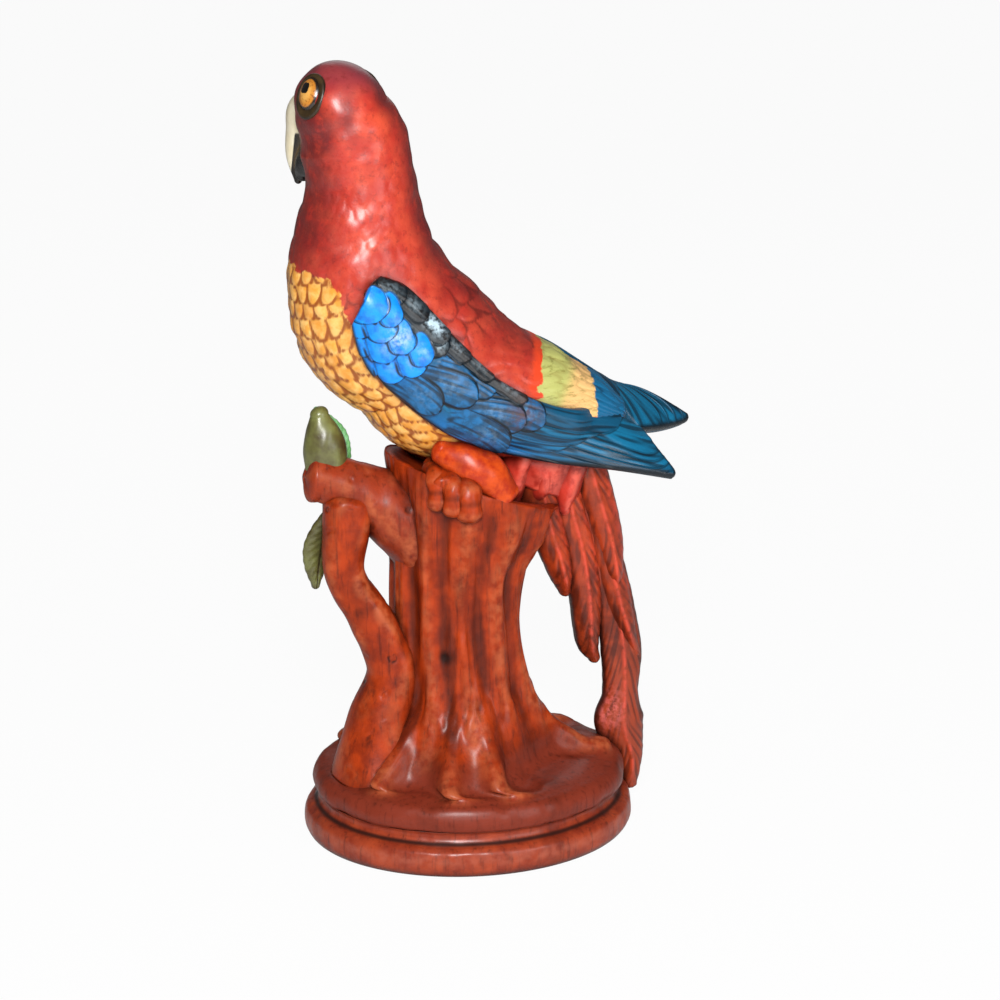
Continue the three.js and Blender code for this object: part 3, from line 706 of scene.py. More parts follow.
# Each bark's ridge colour is a painted highlight
BARK = Bark("bark_glaze_paint", light="a8370c", base="7e2509", dark="1d0703", gloss=0.16, specular=0.14)
GROUND = Bark("ground_glaze_paint", light="a23f20", base="822c17", dark="28100a", specular=0.2, ridge_light="b0604a")
RED = Plumage("red_plumage_paint", light="d04c32", base="b63224", dark="42100e", gloss=0.35)
BLUE = WingGlaze("blue_plumage_paint", light="0c688e", base="084a69", dark="04131c", gloss=0.35, rough=0.4)
TAIL = TailGlaze("tail_plumage_paint", light="ac3a13", base="80290e", dark="2a0c06")
# Its shaft colour is a painted highlight
RUMP = TailGlaze(
    "rump_plumage_paint", light="c23222", base="97251a", dark="330a0a", shaft="dc5a46", gloss=0.45,
)
THIGH = Glaze(
    "orange_plumage_paint", light="c84812", base="a42a0b", dark="560f08", cloud=4, gloss=0.25, specular=0.15,
)
OLIVE = Glaze("olive_leaf_paint", light="70733e", base="43391c", dark="24150d", cloud=12, gloss=0.6)
PALE = Glaze("pale_leaf_paint", light="8cc792", base="5f9e5c", dark="2c3d1a")
CREAM = BeakGlaze("cream_beak_paint", light="f3ead0", base="e8dbb8", dark="7d6238", gloss=0.5)
BLACK = Glaze("black_beak_paint", light="14100e", base="0b0807", dark="040303", gloss=0.5, rough=0.3)
EYE = EyeGlaze(
    "eye_enamel_paint", light="dba250", base="bd7826", dark="1c120b", gloss=0.9, rough=0.25, wash_and_shade=0.2,
)
LID = Glaze("brown_eyelid_paint", light="43331a", base="261b0e", dark="0f0a06")


def seat(piece: bpy.types.Object, node: str, glaze: Glaze) -> None:
    """Glaze a piece and put it in the place of its casting.

    Args:
        piece: The finished piece.
        node: The casting that it stands for.
        glaze: Its finish.
    """
    piece.data.materials.append(glaze.material())
    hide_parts(node)
    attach(piece, "root")
    log.info("%s: %d faces", piece.name, len(piece.data.polygons))


def settle(skin: Skin, node: str, glaze: Glaze) -> None:
    """Build one skin in the place of a casting, blank where it has no grooves or painted ridge highlights."""
    for mask in ("groove", "ridge_highlight"):
        skin.masks.setdefault(mask, np.zeros(skin.rings.shape[:2]))
    seat(skin.build(node + "_glazed"), node, glaze)


def join_up(skins: Sequence[Skin], node: str, glaze: Glaze) -> None:
    """Build skins that run into one another as one piece in the place of a casting."""
    parts = [part.build(f"{node}_{k}") for k, part in enumerate(skins)]
    with bpy.context.temp_override(active_object=parts[0], selected_editable_objects=parts):
        bpy.ops.object.join()
    parts[0].name = node + "_glazed"
    seat(parts[0], node, glaze)


@dataclass
class Plinth:
    """Oval plinth: a ring with a bead round its foot, a groove and a cove under the ground."""

    length: float = 164
    width: float = 142
    height: float = 21
    wall: float = 17
    rim_height: float = 14
    foot_inset: float = 3
    cove_inset: float = 8
    bead_steps: int = 60
    turn_steps: int = 320

    def build(self) -> None:
        """Turn the profile, stretch it to an oval and set it down."""
        outer = self.length / 2
        inner = outer - self.wall
        cove = outer - self.cove_inset
        rise = self.height - self.rim_height
        bead = Curve([
            (outer - self.foot_inset - 1.2, 0, 0),
            (outer - self.foot_inset * 0.7, 0.5, 0),
            (outer - self.foot_inset * 0.12, self.rim_height * 0.25, 0),
            (outer, self.rim_height * 0.55, 0),
            (outer - self.foot_inset * 0.3, self.rim_height * 0.85, 0),
            (outer - self.foot_inset, self.rim_height * 0.99, 0),
            (outer - self.foot_inset * 1.6, self.rim_height + rise * 0.1, 0),
            (cove + 1, self.rim_height + rise * 0.35, 0),
            (cove, self.rim_height + rise * 0.7, 0),
            (cove + 0.6, self.height, 0),
        ]).at(np.linspace(0, 1, self.bead_steps))[:, :2]
        inside = [
            (inner, self.height), (inner, self.height * 0.5), (inner, 0), (inner + 6, 0), (outer - 8, 0),
        ]
        profile = np.vstack([bead, inside])
        angle = np.linspace(0, 2 * math.pi, self.turn_steps + 1)
        rings = np.stack([
            np.cos(angle)[:, None] * profile[:, 0],
            np.sin(angle)[:, None] * profile[:, 0] * self.width / self.length,
            np.repeat(profile[None, :, 1], len(angle), axis=0),
        ], axis=-1)
        skin = Skin(rings, angle, angle, joined=True)
        outside = np.concatenate([smoothstep(bead[:, 1], 0.5, 4), np.zeros(len(inside))])[None, :]
        wear = 0.35 * ripple(rings, 34, 3) + 0.15 * ripple(rings, 9, 4)
        level = rings[..., 2] / self.height
        # Painted shade in the groove and under the ground's lip, and a painted highlight on the bead
        skin.masks["groove"] = (0.8 * bump(level, 0.74, 0.05) + 0.3 * smoothstep(level, 0.85, 1)) * outside
        skin.masks["ridge_highlight"] = 0.7 * bump(level, 0.42, 0.14) * outside
        settle(skin.raised(np.minimum(wear, 0) * outside), "plinth", GROUND)


@dataclass
class Stump:
    """Tree stump: rounded ground, mound, roots, furrowed trunk and dished rim."""

    ground_length: float = 156
    ground_width: float = 136
    ground_x: float = 0.5
    lip_height: float = 12
    mound_rise: float = 6
    height: float = LEVELS.trunk
    foot: tuple[float, float] = (96, 86)
    waist: tuple[float, float] = (62, 59)
    waist_x: float = -5.5
    dish: float = 2
    root_reach: float = 15
    root_width: float = 12
    roots: Sequence[float] = (32, 88, 146, 219, 254, 278, 348)
    saddle_rise: float = 4
    saddle_heading: float = -3
    saddle_width: float = 22
    furrows: int = 11
    furrow_depth: float = 1.6
    knot_heading: float = 256
    knot_height: float = 62
    knot_rise: float = 3
    eye_heading: float = 246
    eye_height: float = 57
    eye_depth: float = 1.1
    crease_depth: float = 1.6
    rib_rise: float = 1.2
    rib_width: float = 6
    gap_depth: float = 3.2
    mouth: float = 58
    bore: float = 17
    bore_height: float = 106
    stations: int = 255
    sides: int = 350

    def lobe(self, angle: Numbers, heading: float, width: float) -> Numbers:
        """A bell round a heading, both in degrees, on the turn of the trunk."""
        off = np.arctan2(np.sin(angle - heading * DEGREES), np.cos(angle - heading * DEGREES))
        return bump(off, 0, width * DEGREES)

    def lobes(self, angle: Numbers, width: float) -> Numbers:
        """Bells of that width round the headings of the roots."""
        return sum(self.lobe(angle, heading, width) for heading in self.roots)[None, :]

    def profile(self) -> Numbers:
        """Rows from the ground's edge to the dish.

        Returns:
            x, half length, half width, height, root, tilt, t and saddle.
        """
        a, b, x = self.ground_length / 2, self.ground_width / 2, self.ground_x
        lip, rise = self.lip_height, self.mound_rise
        low = LEVELS.ground
        ground = [
            (x, a * 0.95, b * 0.95, low, 0, 0, -1, 0),
            (x, a * 0.985, b * 0.985, low + lip * 0.1, 0, 0, -0.9, 0),
            (x, a, b, low + lip * 0.42, 0, 0, -0.75, 0),
            (x, a * 0.985, b * 0.985, low + lip * 0.75, 0, 0, -0.6, 0),
            (x, a * 0.95, b * 0.95, low + lip * 0.97, 0.05, 0, -0.45, 0.15),
            (x, a * 0.88, b * 0.88, low + lip + rise * 0.15, 0.2, 0, -0.3, 0.5),
            (x, a * 0.78, b * 0.78, low + lip + rise * 0.45, 0.5, 0, -0.15, 1),
        ]
        wide, deep = self.waist
        trunk = [
            (0, self.waist_x, self.foot[0] / 2, self.foot[1] / 2),
            (0.07, self.waist_x * 0.9, wide * 0.7, deep * 0.665),
            (0.14, self.waist_x * 0.8, wide * 0.64, deep * 0.6),
            (0.28, self.waist_x * 0.85, wide * 0.53, deep * 0.52),
            (0.5, self.waist_x, wide / 2, deep / 2),
            (0.7, self.waist_x * 0.9, wide * 0.52, deep * 0.53),
            (0.86, LEVELS.rim_x * -0.25, LEVELS.rim[0] * 0.455, LEVELS.rim[1] * 0.48),
            (1, LEVELS.rim_x, LEVELS.rim[0] / 2, LEVELS.rim[1] / 2),
        ]
        rows = list(ground)
        for t, x, half, depth in trunk:
            tilt = LEVELS.rim_slope * float(smoothstep(np.array(t), 0.55, 1))
            level = LEVELS.mound + t * self.height
            rows.append((x, half, depth, level, math.exp(-9 * t), tilt, t, max(0, 1 - 8 * t)))
        dish = self.dish
        for scale, lift in ((0.965, 1.4), (0.9, 1.8), (0.76, 0.6 - dish / 2), (0.4, -dish), (0.05, -dish)):
            rows.append((LEVELS.rim_x, LEVELS.rim[0] / 2 * scale, LEVELS.rim[1] / 2 * scale,
                         LEVELS.perch + lift, 0, LEVELS.rim_slope, 1.01 + 0.1 * (1 - scale), 0))
        places = [
            0, 0.5, 1, 1.5, 2, 2.6, 3.3, 4.2, 5.3, 6.4, 8, 10.6, 13, 14.8, 16.2, 16.7, 17.2, 17.9, 18.8, 19.4,
        ]
        even = np.linspace(0, places[-1], self.stations)
        share = np.interp(even, places, np.linspace(0, 1, len(places)))
        return Curve(rows).at(share)

    def build(self) -> None:
        """Loft the outside, relieve it and close it with the hollow underneath."""
        angle = turns(self.sides)
        x, half, deep, level, root, tilt, t, saddle = (column[:, None] for column in self.profile().T)
        spread = self.lobes(angle, self.root_width)
        high = np.clip(t, 0, 1)
        furrow = self.furrow_depth * np.minimum(1, (1 - high) * 8) * np.clip(high * 6, 0, 1)
        wave = furrow * np.sin(self.furrows * angle[None, :] + 2.5 * high)
        knot = self.knot_rise * bump(high * self.height, self.knot_height, 11)
        knot = knot * self.lobe(angle, self.knot_heading, 17)[None, :]
        swell = self.root_reach * root * spread + wave + knot
        px = x + (half + swell) * np.cos(angle)
        lift = self.saddle_rise * saddle * self.lobe(angle, self.saddle_heading, self.saddle_width)
        rings = np.stack([px, (deep + swell) * np.sin(angle), level + lift - tilt * px], axis=-1)
        skin = Skin(rings, t[:, 0], angle)
        skin.raised(self.relief(skin, wave / self.furrow_depth, spread))
        self.open_underneath(skin)
        settle(skin, "tree_stump", BARK)

    def relief(self, skin: Skin, wave: Numbers, spread: Numbers) -> Numbers:
        """Carve the bark and the ground and mark their grooves, the painted highlights on their ridges, and
        the earth.

        Args:
            skin: The lofted stump, whose masks take the marks.
            wave: The furrows, -1 in a valley and 1 on a crest.
            spread: How near each heading is to a root.

        Returns:
            The rise in millimetres.
        """
        rings, angle, t = skin.rings, skin.angle, skin.part[:, None]
        high = np.clip(t, 0, 1)
        wood = smoothstep(high, 0.01, 0.1) * (1 - smoothstep(t, 0.97, 1.03))
        folds = ripple(rings * [1, 1, 0.25], 15, 11)
        grain = ripple(rings * [1, 1, 0.07], 4.5, 12)
        earth = 0.5 * ripple(rings, 26, 13) + 0.2 * ripple(rings, 9, 14)
        crease = bump(t, 0.0, 0.13) * smoothstep(0.55 - spread, 0, 0.5)
        # The trunk's radius at the eye is about 30 mm
        aside = (angle[None, :] - self.eye_heading * DEGREES) * 30
        eye = bump(np.hypot(aside, high * self.height - self.eye_height), 0, 3.2)
        ribs = self.lobes(angle, self.rib_width)
        toes = ribs * bump(t, -0.08, 0.2)
        gaps = np.clip(1 - 1.3 * ribs, 0, 1) * bump(t, -0.01, 0.13) * smoothstep(spread, 0.05, 0.5)
        valley = np.clip(-wave - 0.4 * folds, 0, 1) * wood
        skin.masks["groove"] = np.clip(0.55 * valley + 0.5 * crease + 0.6 * gaps + 0.35 * eye * wood, 0, 0.85)
        # Painted highlight on the furrow crests, the folds and the root tops
        skin.masks["ridge_highlight"] = np.clip(0.6 * (wave * wood) + 1.1 * toes + 0.3 * folds * wood, 0, 1)
        skin.masks["earth"] = (1 - wood) * (1 - 0.6 * np.clip(toes, 0, 1)) * (1 - smoothstep(t, 0.9, 0.97))
        bark = 0.8 * folds + 0.4 * grain - self.eye_depth * eye
        relief = wood * smoothstep(high, 0.08, 0.25) * bark + (1 - wood) * np.minimum(earth, 0.2)
        return relief - self.crease_depth * crease + self.rib_rise * toes - self.gap_depth * gaps

    def open_underneath(self, skin: Skin) -> None:
        """Lead the skin in under the ground and up the hollow of the trunk."""
        low, mound = LEVELS.ground, LEVELS.mound
        mouth, bore, top = self.mouth, self.bore, mound + self.bore_height
        hollow = np.array([
            (0.6, top), (bore * 0.7, top - bore * 0.3), (bore, top - bore), (bore, mound + 34),
            (bore + 3, mound + 10), (bore + 12, mound - 6), (mouth - 14, low + self.lip_height - 5),
            (mouth - 2, low + 3), (mouth, low + 0.2), (mouth + 2, low),
        ])
        lean = self.waist_x * np.clip((hollow[:, 1] - mound) / 20 + 1, 0, 1)
        inner = np.stack([
            lean[:, None] + hollow[:, :1] * np.cos(skin.angle),
            hollow[:, :1] * self.ground_width / self.ground_length * np.sin(skin.angle),
            np.repeat(hollow[:, 1:], len(skin.angle), axis=1),
        ], axis=-1)
        blank = np.zeros(inner.shape[:2])
        skin.rings = np.vstack([inner, skin.rings])
        skin.masks = {key: np.vstack([blank, value]) for key, value in skin.masks.items()}


@dataclass
class Branch:
    """The branch stub, the side shoot under it and their three leaves."""

    shoot_radius: float = 11.5
    shoot_root: float = 17
    shoot_y: float = -7
    stub_radius: float = 11.5
    stub_root: float = 20
    stub_reach: float = 70
    bud_height: float = 25
    bud_width: float = 20.5
    leaf_thickness: float = 3.2

    def weathered(self, limb: Limb, steps: int, sides: int, seed: int) -> Skin:
        """A bough with soft folds along it and small pits.

        Args:
            limb: Its form.
            steps: Stations along it.
            sides: Points round it.
            seed: Which folds.

        Returns:
            The relieved skin with its masks.
        """
        skin = limb.skin(steps, sides)
        lines = np.sin(4 * skin.angle[None, :] + 3 * skin.part[:, None] + seed)
        folds = 0.6 * lines + 0.6 * ripple(skin.rings * [1, 1, 0.5], 14, seed)
        pits = bump(ripple(skin.rings, 9, seed + 1), -1.6, 0.3)
        skin.masks["groove"] = np.clip(-0.5 * folds - 0.25 + 0.6 * pits, 0, 1)
        # Painted highlight on the crests of the folds
        skin.masks["ridge_highlight"] = np.clip(0.7 * folds, 0, 1)
        return skin.raised(0.45 * folds - 0.5 * pits)

    def build(self) -> None:
        """Build the two boughs and the leaves."""
        perch = LEVELS.perch
        r, root, y = self.shoot_radius, self.shoot_root, self.shoot_y
        rows = [
            (-50, y, -0.06, root * 1.5, root * 1.2), (-46, y, 0.14, root * 1.05, root * 0.95),
            (-39, y, 0.34, r * 1.15, r * 1.15), (-49.5, y, 0.53, r * 0.9, r * 0.95),
            (-62, y, 0.7, r * 0.8, r * 0.85), (-61, y, 0.85, r * 1.05, r), (-60, y, 0.96, r * 1.08, r * 1.08),
        ]
        rows = [(px, py, LEVELS.mound + t * LEVELS.trunk, a, b) for px, py, t, a, b in rows]
        shoot = Limb(rows, cap_end=r * 0.6)
        settle(self.weathered(shoot, 160, 96, 21), "side_shoot", BARK)
        r, root = self.stub_radius, self.stub_root
        rows = [
            (-12, 0, -38, root, root), (-36, y / 2, -13, root * 0.86, root * 0.88),
            (-52, y / 2, -2, r * 1.18, r * 1.22), (-self.stub_reach, y / 2, 6, r, r),
            (-self.stub_reach - 6, y / 2, 7, r, r),
        ]
        stub = Limb([(px, py, perch + h, a, b) for px, py, h, a, b in rows], cap_end=4)
        skin = self.weathered(stub, 150, 110, 31)
        skin.masks["earth"] = np.full(skin.rings.shape[:2], 0.55)
        settle(skin, "branch_stub", BARK)
        self.leaves()

    def leaves(self) -> None:
        """The folded bud, the pale leaf behind it and the leaf that hangs by the shoot."""
        x, y, z = -self.stub_reach + 1, self.shoot_y / 2 + 1, LEVELS.perch + 6 + self.stub_radius
        high, wide = self.bud_height, self.bud_width
        bud = Limb([
            (x, y, z - 6, wide / 2, wide * 0.42), (x - 1, y, z + high * 0.2, wide * 0.49, wide * 0.4),
            (x - 2, y, z + high * 0.5, wide * 0.38, wide * 0.33),
            (x - 3, y, z + high * 0.78, wide * 0.22, wide * 0.2),
        ], across=(1, 0, 0), cap_end=4).skin(60, 72)
        fold = bump(bud.angle, 4.3, 0.14)[None, :] * smoothstep(bud.part, 0.1, 0.5)[:, None]
        bud.masks["groove"] = fold * 0.8
        settle(bud.raised(-0.7 * fold + 0.2 * ripple(bud.rings, 8, 41)), "leaf_bud", OLIVE)
        pale = self.blade((x + 9, y + 5, z - 5), (x - 3, y + 6, z + 20), (1.5, 2, 0), 13, (1, -0.2, 0))
        settle(pale, "leaf_pale", PALE)
        top = LEVELS.perch - 12
        lower = self.blade((-64, 3, top), (-74, 6, top - 38), (-3, 2, 0), 17, (1, 0.35, 0))
        settle(lower, "leaf_lower", OLIVE)

    def blade(self, start: Row, end: Row, bow: Row, width: float, across: Row) -> Skin:
        """A leaf that swells and then narrows to a soft point, with its midrib and veins.

        Args:
            start: Its root.
            end: Its tip.
            bow: How far its middle stands off the straight line.
            width: Its greatest width.
            across: The direction of its width.

        Returns:
            The leaf's skin.
        """
        rows = []
        for t, swell in zip((0, 0.25, 0.5, 0.75, 1), (0.62, 0.92, 1, 0.72, 0.24)):
            middle = np.array(start) + (np.array(end) - start) * t + np.array(bow) * math.sin(math.pi * t)
            rows.append((*middle, width / 2 * swell, self.leaf_thickness * (1 if t < 1 else 0.6)))
        skin = Limb(rows, across=across, cap_end=2).skin(70, 72)
        away = np.cos(skin.angle)[None, :]
        veins = np.sin((skin.part[:, None] * 9 - np.abs(away) * 2) * 2 * math.pi)
        rib = bump(away, 0, 0.12) * np.ones_like(veins)
        skin.masks["groove"] = np.clip(rib * 0.7 + 0.35 * np.clip(veins - 0.5, 0, 1), 0, 1)
        return skin.raised(-0.5 * rib + 0.12 * veins * (1 - rib))


@dataclass
class Body:
    """Torso, neck and head of the bird, feathered from the crown to the rump."""

    rows: Sequence[Row] = (
        (71, 26, 12, 11), (57, 32, 19, 18), (38, 36.5, 25, 26.5), (14, 43, 30, 33.5), (-9, 51, 33, 40.5),
        (-23, 66, 34, 40.3), (-40.5, 81.5, 33.5, 41.5), (-48.5, 104.5, 32, 37.4), (-50.2, 122, 29, 31.5),
        (-50, 137, 26, 27.4), (-50.6, 150, 24.5, 25.4), (-53.2, 165.5, 24.2, 25), (-58, 177.5, 23.6, 21.5),
    )
    crown: float = 25
    feathers_round: int = 24
    breast_share: float = 0.2
    neck_row: float = 7.2
    breast_row: float = 8.2
    back_row: float = 12.5
    spot: Row = (-70, -14, 174)
    fold: Row = (-60.5, 180)
    patch_low: float = 29
    patch_end: float = 64
    band_low: float = 30
    band_width: float = 7
    stations: int = 285
    sides: int = 270

    def limb(self) -> Limb:
        """The loft that carries the feathers."""
        rows = [(x, 0, LEVELS.perch + h, a, b) for x, h, a, b in self.rows]
        return Limb(rows, cap_start=6, cap_end=self.crown)

    def build(self) -> None:
        """Feather the loft, mark the painted areas and set it down."""
        skin = self.limb().skin(self.stations, self.sides)
        bend = smoothstep(-np.sin(skin.angle + math.pi)[None, :], -0.2, 0.5)
        level = skin.rings[..., 2] - LEVELS.perch
        skin.eased(bend * smoothstep(level, 50, 75) * smoothstep(level, 150, 125), 260)
        points = skin.rings
        x, height = points[..., 0], points[..., 2] - LEVELS.perch
        turn = skin.angle[None, :] + math.pi / 2
        dorsal = 0.5 - 0.5 * np.cos(turn)
        rows, columns = self.counts(skin, turn, dorsal, height)
        rise, groove, tint = scales(rows, columns, self.feathers_round, 0.8)
        crest = smoothstep(height, 180, 155)
        neck = smoothstep(height, 96, 122)
        breast = smoothstep(self.inside_bib(x, height), -2, 2)
        faint = smoothstep(ripple(points, 30, 54), -0.9, 0.7)
        depth = blend(breast, blend(neck, 0.85, 0.35 * faint + 0.1), 1.2) * crest
        skin.masks["groove"] = groove * blend(breast, blend(neck, 0.7 * faint, 0.1 * faint), 1.0) * crest
        skin.masks["tint"] = tint * (0.1 + 0.9 * crest)
        self.paint(skin, x, height, dorsal)
        fold = self.cheek_fold(skin)
        soft = 0.45 * ripple(points * [1, 1, 1.5], 20, 51) * smoothstep(height, 20, 60)
        soft = soft * smoothstep(height, 205, 185)
        settle(skin.raised(depth * (rise - 0.5) + soft - 0.3 * fold), "bird_body", RED)

    def counts(self, skin: Skin, turn: Numbers, dorsal: Numbers, height: Numbers) -> tuple[Numbers, Numbers]:
        """Count the rows of feathers from the crown down and the feathers round the body.

        Args:
            skin: The bare body.
            turn: Headings round it.
            dorsal: 0 at the breast and 1 at the back.
            height: Heights over the perch.

        Returns:
            Each point's place in rows and in feathers, a little uneven.
        """
        torso = 1 - smoothstep(height, 96, 128)
        front_row = blend(torso, self.neck_row, self.breast_row)
        row = blend(torso * smoothstep(dorsal, 0.35, 0.8), front_row, self.back_row)
        steps = np.diff(skin.lengths(), axis=0)
        counted = np.cumsum((steps / row[1:])[::-1], axis=0)[::-1]
        rows = np.vstack([counted, np.zeros(counted.shape[1])]) + 0.35
        columns = self.feathers_round * (turn + self.breast_share * np.sin(turn)) / (2 * math.pi)
        return rows + 0.22 * ripple(skin.rings, 24, 52), columns + 0.2 * ripple(skin.rings, 21, 53)

    def inside_bib(self, x: Numbers, height: Numbers) -> Numbers:
        """How far a point lies inside the yellow breast, in millimetres."""
        throat = 110 - 0.22 * (x + 86) - height
        flank = ((100 - height) * 90 - (x + 58) * 73) / math.hypot(90, 73)
        wing = ((-75 - x) * 27.4 + (116 - height) * 13) / 30.3 + 1.2 * np.clip(86 - height, 0, None)
        leg = 8 - x
        return np.minimum(np.minimum(throat, flank), np.minimum(wing, leg))

    def cheek_fold(self, skin: Skin) -> Numbers:
        """Mark the red spot under the left eye and the dark fold behind it.

        Args:
            skin: The feathered body, whose masks take the marks.

        Returns:
            The fold's depth from 0 to 1.
        """
        x, y, height = (skin.rings[..., k] for k in range(3))
        height = height - LEVELS.perch
        away = np.stack([x, -np.abs(y), height], axis=-1) - self.spot
        away = np.linalg.norm(away, axis=-1)
        left = y < 0
        skin.masks["spot"] = np.where(left, 1 - smoothstep(away, 2.0, 4.2), 0)
        shade = np.clip(skin.masks["shade"] + 0.6 * bump(away, 7, 4) * left, 0, 1)
        front, middle = self.fold
        bow = front + 2.5 * ((height - middle) / 12) ** 2
        fold = bump(x, bow, 4.2) * bump(height, middle, 12) * left
        skin.masks["shade"] = np.clip(shade + 0.8 * fold, 0, 1)
        return fold

    def paint(self, skin: Skin, x: Numbers, height: Numbers, dorsal: Numbers) -> None:
        """Mark how far each point lies inside the breast, patch, band and rump colours, in millimetres."""
        jag = 3.2 * (skin.masks["tint"] - 0.5)
        skin.masks["bib"] = self.inside_bib(x, height) + jag
        front = 0.28 * (height - 33) + 25
        end = self.patch_end - x
        skin.masks["patch"] = np.minimum(np.minimum(x - front, end), height - self.patch_low) + 1.5 * jag
        skin.masks["peach"] = smoothstep(x - 0.6 * (height - 45), 36, 50)
        band = np.minimum(x - front + self.band_width, end)
        skin.masks["band"] = np.minimum(band, height - self.band_low) + jag
        skin.masks["rump"] = np.minimum(x - 59, 60 - height)
        neck = smoothstep(height, 92, 125)
        nape = smoothstep(dorsal, 0.74, 0.97) * blend(neck, 0.7, 1.0)
        throat = smoothstep(dorsal, 0.36, 0.06) * neck
        skin.masks["shade"] = np.clip(nape + 0.9 * throat, 0, 1)
        # Painted sheen on the top of the head
        skin.masks["crown"] = smoothstep(height, 184, 198)


class Tier(Enum):
    """Groups of wing feathers, each with its own colour."""

    FLIGHT = "flight"
    STEEL = "steel"
    SHOULDER = "shoulder"
    SCAPULAR = "scapular"


@dataclass(frozen=True)
class Feather:
    """One wing feather in the bird's side view: x and height over the perch in millimetres."""

    tier: Tier
    root: tuple[float, float]
    tip: tuple[float, float]
    width: float
    rise: float
    blunt: float
    bow: float = 0.0
    # Strength of the painted silver highlight
    glint: float = 0.5

    def trace(self, x: Numbers, height: Numbers, order: int) -> tuple[Numbers, Numbers, dict[str, Numbers]]:
        """Draw the feather over places in the side view.

        Args:
            x: The places.
            height: Their heights over the perch.
            order: Its number in the wing, which sets its tint and streaks.

        Returns:
            How far it covers each place, the painted shadow that it casts on the feathers beside it,
            and its own rise in millimetres and masks.
        """
        plain = self.tier is Tier.SHOULDER
        long, fall = self.tip[0] - self.root[0], self.tip[1] - self.root[1]
        run = math.hypot(long, fall)
        wayx, wayz = long / run, fall / run
        offx, offz = x - self.root[0], height - self.root[1]
        q = (offx * wayx + offz * wayz) / run
        away = offz * wayx - offx * wayz - self.bow * 4 * q * (1 - q)
        ahead = (1 - q) * run
        half = self.width / 2
        taper = np.sqrt(np.clip(1 - np.clip(1 - ahead / (half * self.blunt), 0, None) ** 2, 0, 1))
        if plain:
            taper = taper * np.sqrt(np.clip(1 - np.clip(1 - q / 0.45, 0, None) ** 2, 0, 1))
        inside = np.where(ahead > 0, half * taper - np.abs(away), -np.hypot(ahead, away))
        inside = np.where(q > 0, inside, -9)
        cover = smoothstep(inside, -0.3, 0.4) * smoothstep(q, 0, 0.12)
        across = np.clip(away / half, -1, 1)
        along = 0.09 * ahead + 0.25 * np.abs(away)
        streak = streaks(np.stack([away, along, np.full_like(away, 9.0 * order)], axis=-1), 2.3, 90)
        shaft = bump(away, 0, 0.6) * smoothstep(q, 0.15, 0.5) * (0 if plain else 1)
        dome = (1.3 if plain else 0.6) * (1 - across**2) * (bump(q, 0.6, 0.5) if plain else 1)
        rise = self.rise * (0.1 + 0.9 * np.clip(q, 0, 1) ** 1.4) + dome + 0.2 * shaft
        # Painted silver highlight on the raised middle of the feather
        bare = 0.0 if self.tier is Tier.FLIGHT else self.glint * bump(q, 0.62, 0.2) * bump(across, 0.1, 0.5)
        soft = {Tier.FLIGHT: 0.5, Tier.SHOULDER: 0.65}.get(self.tier, 0.8)
        # Painted shadow that the feather casts just outside its edge
        under = bump(inside, -0.5, 0.8) * smoothstep(q, 0.3, 0.6)
        marks = {
            "rise": rise - (0 if plain else 0.2) * streak,
            "groove": soft * bump(inside, 0.2, 0.5),
            "tint": chance(np.array(order), np.array(3)),
            "barb": streak * (0.25 if plain else 1) * (1 - shaft),
            "silver_highlight": bare,
        }
        marks |= {tier.value: 1.0 if tier is self.tier else 0.0 for tier in Tier}
        return cover, soft * 1.2 * under, marks


